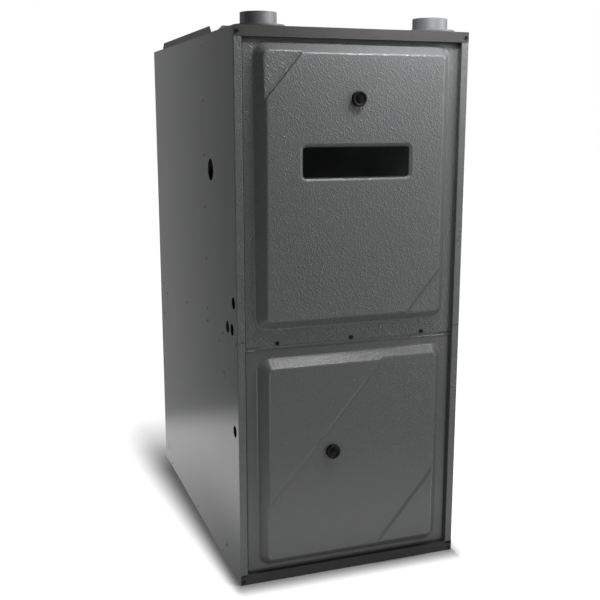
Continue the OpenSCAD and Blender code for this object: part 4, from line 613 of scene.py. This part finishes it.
screw_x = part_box("door_screws")[1].x - SCREW_WASHER_R
DOOR_CUTS = {
    "upper": [
        ("x", -screw_x), ("x", 0), ("x", screw_x), ("x", -PAN_FOOT_X), ("x", PAN_FOOT_X),
        ("z", middle("badge_plate").z), ("z", middle("door_screws").z)],
    "lower": [("x", middle("lower_sight_bezel").x), ("z", middle("lower_sight_bezel").z)]}
DOOR_ROLLS = [
    (door_fold, FOLD_RADIUS, 3), (in_pocket, POCKET_RADIUS, 3), (on_pan, PRESS_RADIUS, 4),
    (on_soft_step, SOFT_STEP_RADIUS, 3), (on_sharp_step, STEP_RADIUS, 2)]
for level, enamel, first in (("upper", door_enamel, steepen), ("lower", shallow_enamel, None)):
    door = softened(
        level + "_door_skin", level + "_door", level + "_door", DOOR_CUTS[level], DOOR_ROLLS,
        first=first)
    paint(door, enamel)

# %% [markdown]
# ## Side panels
# The wrapper's front corner is folded round to make the strip beside the doors. The strip shows
# the wrinkle enamel and the side shows the smooth paint. A strip of its own would leave a seam at
# the fold, so one mesh carries both finishes and its front faces get the second material. The
# cuts part the long strip above its lowest screw hole, below its slit and below its highest screw
# hole, and the side just behind its fold.

# %% Side panels
SIDE_FOLD = 0.9 * MM
FOLD_LENGTH = 50 * MM
STRIP_SKIN = 2 * MM
ABOVE_LOW_SCREW, BELOW_SLIT, BELOW_TOP_SCREW = 22 * MM, 460 * MM, 998 * MM
BEHIND_FOLD = STRIP_FRONT + 10 * MM
SIDE_CUTS = [("y", BEHIND_FOLD), ("z", ABOVE_LOW_SCREW), ("z", BELOW_TOP_SCREW), ("z", BELOW_SLIT)]


def front_fold(edge):
    """The long folds between the strip and the side, or between the strip and its return."""
    return outer_fold(edge) and edge.calc_length() > FOLD_LENGTH


for side in ("left", "right"):
    panel = softened(
        side + "_wrapper", side + "_side_panel", "cabinet", SIDE_CUTS,
        [(front_fold, SIDE_FOLD, 3)])
    paint(panel, side_paint)
    panel.data.materials.append(door_enamel)
    for face in panel.data.polygons:
        if face.normal.y < LOOKS_OUT and face.center.y < STRIP_FRONT + STRIP_SKIN:
            face.material_index = 1

# %% [markdown]
# ## Rails
# The top and bottom rails are folded channels of thicker sheet that close the cabinet over and
# under the doors. Their folds are tight, so a roll of half a millimetre is enough to give each
# one a thin line of light. The cuts run through the screw holes at both ends and the middle.

# %% Rails
RAIL_FOLD = 0.5 * MM
RAIL_SCREW_X = 216.25 * MM
RAIL_CUTS = [("x", -RAIL_SCREW_X), ("x", RAIL_SCREW_X), ("x", 0)]

for rail in ("top_rail", "bottom_rail"):
    channel = softened(
        rail + "_channel", rail, "cabinet", RAIL_CUTS, [(outer_fold, RAIL_FOLD, 2)])
    paint(channel, rail_paint)

# %% [markdown]
# ## Turned pieces
# Collars, bezels and lenses are round, so each is a profile spun about its axis. The profile is
# drawn with a few points, its corners are beveled while it is still flat, and bmesh's spin makes
# the full turn. The spin leaves the flat profile inside the solid as a wall, which is deleted.
# The piece is spun about Z and then turned to its axis, and its place is baked into the mesh,
# because every finished piece's object stays at the origin.

# %% Spinning a profile
OFF_AXIS = 0.01 * MM
ON_PROFILE = 1e-9
ROUND_TO = math.radians(40)


def spun(profile, corner, steps):
    """A solid from one closed profile of (radius, height) points, spun about Z."""
    part = bmesh.new()
    rim = [part.verts.new((radius, 0, height)) for radius, height in profile]
    part.faces.new(rim)
    if corner:
        bmesh.ops.bevel(
            part, geom=[v for v in rim if v.co.x > OFF_AXIS], offset=corner, segments=3,
            profile=0.5, affect="VERTICES", material=-1)
    flat = part.faces[:][0]
    bmesh.ops.spin(
        part, geom=[flat] + flat.edges[:] + flat.verts[:], cent=(0, 0, 0), axis=(0, 0, 1),
        angle=math.tau, steps=steps, use_merge=True)
    wall = [
        face for face in part.faces
        if all(abs(v.co.y) < ON_PROFILE and v.co.x > -ON_PROFILE for v in face.verts)]
    bmesh.ops.delete(part, geom=wall, context="FACES")
    bmesh.ops.remove_doubles(part, verts=part.verts, dist=WELD)
    bmesh.ops.recalc_face_normals(part, faces=part.faces)
    return part


def turned(name, body, node, profile, corner, places, steps=72, facing=(0, 0, 1)):
    """One piece with the spun profile at each place. facing turns its Z to that direction."""
    mesh = bpy.data.meshes.new(name)
    shape = bmesh.new()
    turn = Vector((0, 0, 1)).rotation_difference(Vector(facing)).to_matrix()
    for place in places:
        part = spun(profile, corner, steps)
        bmesh.ops.rotate(part, verts=part.verts, matrix=turn, cent=(0, 0, 0))
        bmesh.ops.translate(part, verts=part.verts, vec=place)
        part.to_mesh(mesh)
        shape.from_mesh(mesh)
        part.free()
    shape.to_mesh(mesh)
    shape.free()
    mesh.shade_smooth()
    mesh.set_sharp_from_angle(angle=ROUND_TO)
    return stand_in(name, mesh, body, node)


print("round pieces stay smooth up to", round(math.degrees(ROUND_TO)), "degrees")

# %% [markdown]
# ## Pipe collars
# Two moulded couplings stand on the top: a thin round flange, screwed down, and a short tube with
# a socket for the field pipe above an inner stop. Cylinders joined by booleans could make them,
# but one spun profile gives the same solid in clean rings of faces, with all corners rounded.

# %% Pipe collars
collar_low, collar_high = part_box("pipe_collars")
FLANGE_R = (collar_high.y - collar_low.y) / 2
TUBE_R, SOCKET_R, STOP_R = 32 * MM, 30.4 * MM, 27.2 * MM
FLANGE_T, STOP_Z, STOP_T = 4 * MM, 8 * MM, 1.5 * MM
COLLAR_CORNER = 0.5 * MM
collar_height = collar_high.z - collar_low.z
flange_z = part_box("top_rail")[1].z - collar_low.z
collar_profile = [
    (SOCKET_R, 0), (TUBE_R, 0), (TUBE_R, flange_z), (FLANGE_R, flange_z),
    (FLANGE_R, flange_z + FLANGE_T), (TUBE_R, flange_z + FLANGE_T), (TUBE_R, collar_height),
    (SOCKET_R, collar_height), (SOCKET_R, STOP_Z + STOP_T), (STOP_R, STOP_Z + STOP_T),
    (STOP_R, STOP_Z), (SOCKET_R, STOP_Z)]
collar_y = (collar_low.y + collar_high.y) / 2
collar_x = collar_high.x - FLANGE_R
collars = turned(
    "pipe_couplings", "cabinet", "pipe_collars", collar_profile, COLLAR_CORNER,
    [Vector((x, collar_y, collar_low.z)) for x in (-collar_x, collar_x)], steps=96)
paint(collars, collar_plastic)

# %% [markdown]
# ## Sight glasses
# A push-in bezel with a rounded nose holds a small domed lens. The bezel stands proud of the
# door, so from the left its side shows as a dark crescent. Both are spun like the collars. The
# dome could be cut from a sphere, but at 1.4 mm of height four points on its profile are enough.

# %% Sight glasses
BEZEL_R, BORE_R, NECK_R, LENS_R = 13.25 * MM, 8.5 * MM, 11 * MM, 9.7 * MM
BEZEL_H, NECK_DEPTH = 8 * MM, 5 * MM
BEZEL_CORNER = 0.9 * MM
bezel_profile = [
    (BORE_R, -NECK_DEPTH), (NECK_R, -NECK_DEPTH), (NECK_R, 0), (BEZEL_R, 0), (BEZEL_R, BEZEL_H),
    (BORE_R + 1.5 * MM, BEZEL_H), (BORE_R, BEZEL_H - 2 * MM)]
LENS_DROPS = [(1, 2.4 * MM), (0.7, 1.6 * MM), (0.35, 1.15 * MM), (0, 1 * MM)]
lens_profile = [(0, BEZEL_H - 3 * MM), (LENS_R, BEZEL_H - 3 * MM)] + [
    (part * LENS_R, BEZEL_H - drop) for part, drop in LENS_DROPS]

for level in ("upper", "lower"):
    low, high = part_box(level + "_sight_bezel")
    seat = Vector(((low.x + high.x) / 2, low.y + BEZEL_H, (low.z + high.z) / 2))
    bezel = turned(
        level + "_sight_ring", level + "_door", level + "_sight_bezel", bezel_profile,
        BEZEL_CORNER, [seat], facing=(0, -1, 0))
    paint(bezel, bezel_plastic)
    lens = turned(
        level + "_sight_window", level + "_door", level + "_sight_lens", lens_profile, 0, [seat],
        facing=(0, -1, 0))
    paint(lens, sight_glass)

# %% [markdown]
# ## The badge place
# The pocket in the upper door holds a plain gloss black plate. Its shape is right as it comes, so
# only the rim of its front is rounded, to draw a thin highlight.

# %% Badge plate
PLATE_RIM = 0.4 * MM


def plate_edge(edge):
    """The rim of the plate's front face."""
    return any(face.normal.y < LOOKS_AHEAD for face in edge.link_faces)


badge = softened("badge_blank", "badge_plate", "upper_door", [], [(plate_edge, PLATE_RIM, 2)])
paint(badge, badge_plastic)

# %% [markdown]
# ## Everything else keeps its shape
# The other pieces are right as they come, and only need their finish. Their meshes are left
# alone; each material goes into the node's slot.

# %% Finishes of the remaining nodes
FINISHES = {
    side_paint: ["back_panel", "side_rivets"],
    flange_paint: ["top_plate"],
    galvanised: [
        "base_pan", "bottom_return_panel", "blower_deck", "vestibule_panel", "burner_rack",
        "blower_housing", "blower_wheel", "motor_mount", "control_bracket", "inducer_wheel"],
    aluminised: ["burners", "primary_tubes", "rear_header"],
    stainless: ["secondary_coil", "flame_sensor"],
    bright_shaft: ["blower_shaft", "inducer_shaft"],
    fin_aluminium: ["coil_fins"],
    cast_aluminium: ["gas_valve"],
    brass: ["gas_orifices"],
    black_iron: ["gas_manifold"],
    red_plastic: [
        "gas_valve_knob", "left_reset_button", "right_reset_button", "door_switch_plunger"],
    black_plastic: [
        "collector_box", "inducer_housing", "inducer_cooling_fan", "pressure_switch",
        "condensate_trap", "hole_plugs", "safety_switches"],
    pipe_plastic: ["vent_pipe"],
    hose_rubber: ["pressure_hose", "drain_hose"],
    insulation: ["upper_door_insulation", "lower_door_insulation"],
    ceramic: ["igniter"],
    board_lacquer: ["control_board"],
    ivory_plastic: ["door_switch"],
    motor_paint: ["blower_motor", "inducer_motor", "transformer"],
    dark_screw_steel: ["door_screws", "cabinet_screws"],
}
for material, nodes in FINISHES.items():
    for node in nodes:
        paint(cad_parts[node], material)
print("finished", sum(len(nodes) for nodes in FINISHES.values()), "nodes")

# %% [markdown]
# ## Three kinds of ray
# The room and the floor have to be plain white to the camera, dim as a source of light, and
# something between in reflections. Light Path tells these rays apart, so one strength can be a
# choice of three.

# %% Kinds of ray
def ray_kinds(tree):
    """1 for reflected or refracted rays, and 1 for the camera's own rays."""
    path = add(tree, "LightPath")
    mirrored = add(tree, "Math", {
        0: path.outputs["Is Glossy Ray"], 1: path.outputs["Is Transmission Ray"]},
        operation="MAXIMUM")
    return mirrored.outputs[0], path.outputs["Is Camera Ray"]


def three_way(tree, light, reflected, seen_by_camera):
    """A strength for matt bounces, one for reflections and one for the camera."""
    mirrored, camera_ray = ray_kinds(tree)
    bounced = add(tree, "Mix", {0: mirrored, 2: light, 3: reflected})
    whole = add(tree, "Mix", {0: camera_ray, 2: bounced.outputs[0], 3: seen_by_camera})
    return whole.outputs[0]


print("strengths can differ for light, reflections and the camera")

# %% [markdown]
# ## The white room
# The photograph's room is plain white, and so is the world to the camera. As a light it is much
# dimmer, so that the sheet metal keeps its shading. Reflections see it white only behind the
# cabinet, fading out to the left: the smooth side mirrors that part at a low angle, and the doors
# would look milky if they mirrored a white room in front of them.

# %% World
WHITE = 1, 1, 1, 1
WORLD_LIGHT = 0.32
ROOM_BEHIND = -0.05, 0.05
ROOM_TURN = -0.24, -0.12

world = bpy.data.worlds.new("white_studio")
bpy.context.scene.world = world
world.use_nodes = True
sky = world.node_tree
sky.nodes.clear()
direction = add(sky, "SeparateXYZ", {0: add(sky, "TexCoord").outputs["Generated"]})
behind = add(sky, "MapRange", {
    "Value": direction.outputs["Y"], "From Min": ROOM_BEHIND[0], "From Max": ROOM_BEHIND[1]},
    interpolation_type="SMOOTHSTEP")
window = add(sky, "MapRange", {
    "Value": direction.outputs["X"], "From Min": ROOM_TURN[0], "From Max": ROOM_TURN[1]})
room = add(sky, "Math", {0: behind.outputs[0], 1: window.outputs[0]}, operation="MULTIPLY")
background = add(sky, "Background", {
    "Color": WHITE, "Strength": three_way(sky, WORLD_LIGHT, room.outputs[0], 1.0)})
add(sky, "OutputWorld", {"Surface": background.outputs[0]})
print("the world lights at", WORLD_LIGHT)

# %% [markdown]
# ## The floor
# The floor is one large flat sheet, a hair below the cabinet's base so that the two never share a
# plane. It belongs to the stage and not to the furnace. Its material has to know how far each
# point is from the cabinet, so a helper measures the distance from a rectangle: the plane is
# folded over at the rectangle's middle, half its size is taken away, and what is left over is the
# way to its nearest edge.

# %% Floor
FLOOR_SIZE = 30
FLOOR_DROP = 0.2 * MM

floor_mesh = bpy.data.meshes.new("floor")
flat = bmesh.new()
bmesh.ops.create_grid(flat, x_segments=1, y_segments=1, size=FLOOR_SIZE / 2)
bmesh.ops.translate(flat, verts=flat.verts, vec=(0, 0, -FLOOR_DROP))
flat.to_mesh(floor_mesh)
flat.free()
floor = bpy.data.objects.new("floor", floor_mesh)
bpy.context.scene.collection.objects.link(floor)

floor_material = bpy.data.materials.new("white_floor")
floor_material.use_nodes = True
floor_mesh.materials.append(floor_material)
paper = floor_material.node_tree
paper.nodes.clear()
ground = add(paper, "NewGeometry").outputs["Position"]
x, y, _ = add(paper, "SeparateXYZ", {0: ground}).outputs


def distance_from(low, high):
    """Distance of a floor point from a rectangle between two corners, 0 inside it."""
    centre = Vector((*[(a + b) / 2 for a, b in zip(low, high)], 0))
    half = Vector((*[(b - a) / 2 for a, b in zip(low, high)], 1))
    from_centre = add(paper, "VectorMath", {0: ground, 1: centre}, operation="SUBTRACT")
    folded = add(paper, "VectorMath", {0: from_centre.outputs[0]}, operation="ABSOLUTE")
    beyond = add(paper, "VectorMath", {0: folded.outputs[0], 1: half}, operation="SUBTRACT")
    clear = add(paper, "VectorMath", {
        0: beyond.outputs[0], 1: (0, 0, 0)}, operation="MAXIMUM")
    return add(paper, "VectorMath", {
        0: clear.outputs[0]}, operation="LENGTH").outputs["Value"]


half_wide = -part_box("left_side_panel")[0].x
footprint = (-half_wide, STRIP_FRONT), (half_wide, cad_high.y)
from_cabinet = distance_from(*footprint)
print("footprint", footprint)

# %% [markdown]
# ## The soft shadow
# The floor is matt paper that really receives the lamps' shadows, plus a glow that lifts it to
# plain white for the camera. Beside the cabinet the glow fades, and that fade paints the shadow
# that the camera sees: the glow rises from nothing at the foot of each side to its full strength
# at the shadow's reach. The reach is short in front, grows along the sides and is longest behind,
# as in the photograph. Behind and on the right, where the light comes round the cabinet, the
# painted shadow is lighter, because there the glow doesn't start from nothing.

# %% Where the camera sees the floor's shadow, partly painted
FLOOR_GLOW = 1.0
SHADOW_REACH = {"front": 0.066, "back": 0.4, "side at front": 0.033, "side at back": 0.155}
SHADOW_LIFT = {"back": 0.32, "right": 0.35}
LIFT_EDGE = {"back": (footprint[1][1] - 0.1, 0.2), "right": (footprint[1][0], 0.005)}


def past(value, edge, reach, sign=1):
    """How far a value lies past an edge, in units of a reach, 0 before it."""
    beyond = add(paper, "Math", {0: value, 1: edge}, operation="SUBTRACT")
    outward_way = add(paper, "Math", {0: beyond.outputs[0], 1: sign}, operation="MULTIPLY")
    kept = add(paper, "Math", {0: outward_way.outputs[0], 1: 0.0}, operation="MAXIMUM")
    return add(paper, "Math", {0: kept.outputs[0], 1: reach}, operation="DIVIDE").outputs[0]


side_reach = add(paper, "MapRange", {
    "Value": y, "From Min": footprint[0][1], "From Max": footprint[1][1] + SHADOW_REACH["back"],
    "To Min": SHADOW_REACH["side at front"], "To Max": SHADOW_REACH["side at back"]}).outputs[0]
sideways = add(paper, "Math", {0: x}, operation="ABSOLUTE").outputs[0]
ways = add(paper, "CombineXYZ", {
    0: past(sideways, half_wide, side_reach),
    1: past(y, footprint[0][1], SHADOW_REACH["front"], -1),
    2: past(y, footprint[1][1], SHADOW_REACH["back"])}).outputs[0]
away = add(paper, "VectorMath", {0: ways}, operation="LENGTH")
lifts = [
    add(paper, "MapRange", {
        "Value": value, "From Min": LIFT_EDGE[part][0], "From Max": sum(LIFT_EDGE[part]),
        "To Max": SHADOW_LIFT[part]}).outputs[0]
    for value, part in ((y, "back"), (x, "right"))]
lift = add(paper, "Math", {0: lifts[0], 1: lifts[1]}, operation="MAXIMUM")
# The camera's glow: its fade near the cabinet is the painted shadow.
camera_glow_with_painted_shadow = add(paper, "MapRange", {
    "Value": away.outputs["Value"], "To Min": lift.outputs[0], "To Max": FLOOR_GLOW},
    interpolation_type="SMOOTHSTEP").outputs[0]
print("shadow reaches", SHADOW_REACH)

# %% [markdown]
# ## The floor in reflections
# The smooth left side mirrors the floor beside it, and the photograph shows what it saw there:
# close to the cabinet a floor in shade at the front and lit at the back, a bright band a hand's
# width away, and then a darker room. The glow for reflected rays paints that shade and that light
# into the floor, as a painted reflection. Beyond the sheet of paper on which the cabinet stands,
# reflected rays pass through the floor and see the room.

# %% What reflections see of the floor
NEAR_SEEN = 0.12, 0.92
GLOW_RISE = 0.05, 0.15
GLOW_FALL = 0.28, 0.55
PAPER = (-1.5, -1.7), (1.5, 0.5)
PAPER_EDGE = 0.3

# Painted reflection: the floor's glow for reflected rays is dim at the front foot, bright in the
# band and gone beyond it.
painted_reflection_glow = add(paper, "MapRange", {
    "Value": y, "From Min": footprint[0][1], "From Max": footprint[1][1],
    "To Min": NEAR_SEEN[0], "To Max": NEAR_SEEN[1]}).outputs[0]
for (near, far), strength in ((GLOW_RISE, 1.0), (GLOW_FALL, 0.0)):
    painted_reflection_glow = add(paper, "MapRange", {
        "Value": from_cabinet, "From Min": near, "From Max": far,
        "To Min": painted_reflection_glow, "To Max": strength}, interpolation_type="SMOOTHSTEP").outputs[0]
off_paper = add(paper, "MapRange", {
    "Value": distance_from(*PAPER), "From Max": PAPER_EDGE}, interpolation_type="SMOOTHSTEP")
shade = add(paper, "Mix", {
    "Factor": off_paper.outputs[0], 6: linear("#b4b4b4"), 7: linear("#6a6a6a")},
    data_type="RGBA")
matt = add(paper, "BsdfDiffuse", {"Color": shade.outputs[2]})
glow = add(paper, "Emission", {
    "Color": WHITE, "Strength": three_way(paper, 0.0, painted_reflection_glow, camera_glow_with_painted_shadow)})
both = add(paper, "AddShader", {0: matt.outputs[0], 1: glow.outputs[0]})
mirrored, _ = ray_kinds(paper)
open_room = add(paper, "Math", {0: mirrored, 1: off_paper.outputs[0]}, operation="MULTIPLY")
ground_seen = add(paper, "MixShader", {
    0: open_room.outputs[0], 1: both.outputs[0], 2: add(paper, "BsdfTransparent").outputs[0]})
add(paper, "OutputMaterial", {"Surface": ground_seen.outputs[0]})
print("floor material of", len(paper.nodes), "nodes")

# %% [markdown]
# ## Lamps
# Five soft lamps do what a product studio does. A small one close above the doors rakes down
# them, picks out the wrinkles of the upper door and lights the bends that face up. One high on
# the right keeps the right-hand bends and strip from going black. A wide one in front fills both
# doors evenly, one low on the left stands in for the light that the floor throws back, and one
# behind on the left gives the side its soft fall from light to dark. Their powers were fitted to
# the greys of the photograph.

# %% Lamps
def lamp(name, place, target, size, watts):
    light = bpy.data.lights.new(name, "AREA")
    light.shape = "RECTANGLE"
    light.size, light.size_y = size
    light.energy = watts
    holder = bpy.data.objects.new(name, light)
    holder.location = place
    aim = Vector(target) - Vector(place)
    holder.rotation_euler = aim.to_track_quat("-Z", "Y").to_euler()
    bpy.context.scene.collection.objects.link(holder)
    print(name, watts, "W")


lamp("door_top_softbox", (0.15, -0.55, 1.25), (0.1, -0.35, 0.9), (0.3, 0.08), 3.4)
lamp("right_edge_softbox", (0.75, -0.6, 1.15), (0.2, -0.35, 0.85), (0.3, 0.3), 3.75)
lamp("front_softbox", (1.6, -1.8, 0.4), (0.0, -0.35, 0.4), (1.0, 0.7), 8.8)
lamp("floor_bounce", (-0.7, -1.2, 0.1), (0.0, -0.35, 0.2), (0.6, 0.4), 2.31)
lamp("back_left_softbox", (-1.8, 1.4, 1.8), (-0.22, 0.2, 0.6), (1.0, 1.0), 4.61)

# %% [markdown]
# ## Camera
# A camera can be placed by eye, but place, turn and lens trade against each other. So a pinhole
# camera was fitted to six corners of the cabinet in the photograph, to about a quarter of a
# pixel. It stands in front and to the left, just below the cabinet's top, and looks slightly down.

# %% Camera
CAMERA_PLACE = (-0.63922, -1.85653, 0.86526)
CAMERA_YAW = math.radians(19.489)
CAMERA_PITCH = math.radians(11.440)
LENS = 54.327
SENSOR = 36.0

view = bpy.data.cameras.new("camera")
view.sensor_width = SENSOR
view.lens = LENS
camera = bpy.data.objects.new("camera", view)
look = Vector((
    math.sin(CAMERA_YAW) * math.cos(CAMERA_PITCH),
    math.cos(CAMERA_YAW) * math.cos(CAMERA_PITCH),
    -math.sin(CAMERA_PITCH)))
camera.location = CAMERA_PLACE
camera.rotation_euler = look.to_track_quat("-Z", "Y").to_euler()
bpy.context.scene.collection.objects.link(camera)
bpy.context.scene.camera = camera
bpy.context.scene.view_settings.view_transform = "Standard"
print("camera at", CAMERA_PLACE, "with a lens of", LENS, "mm")
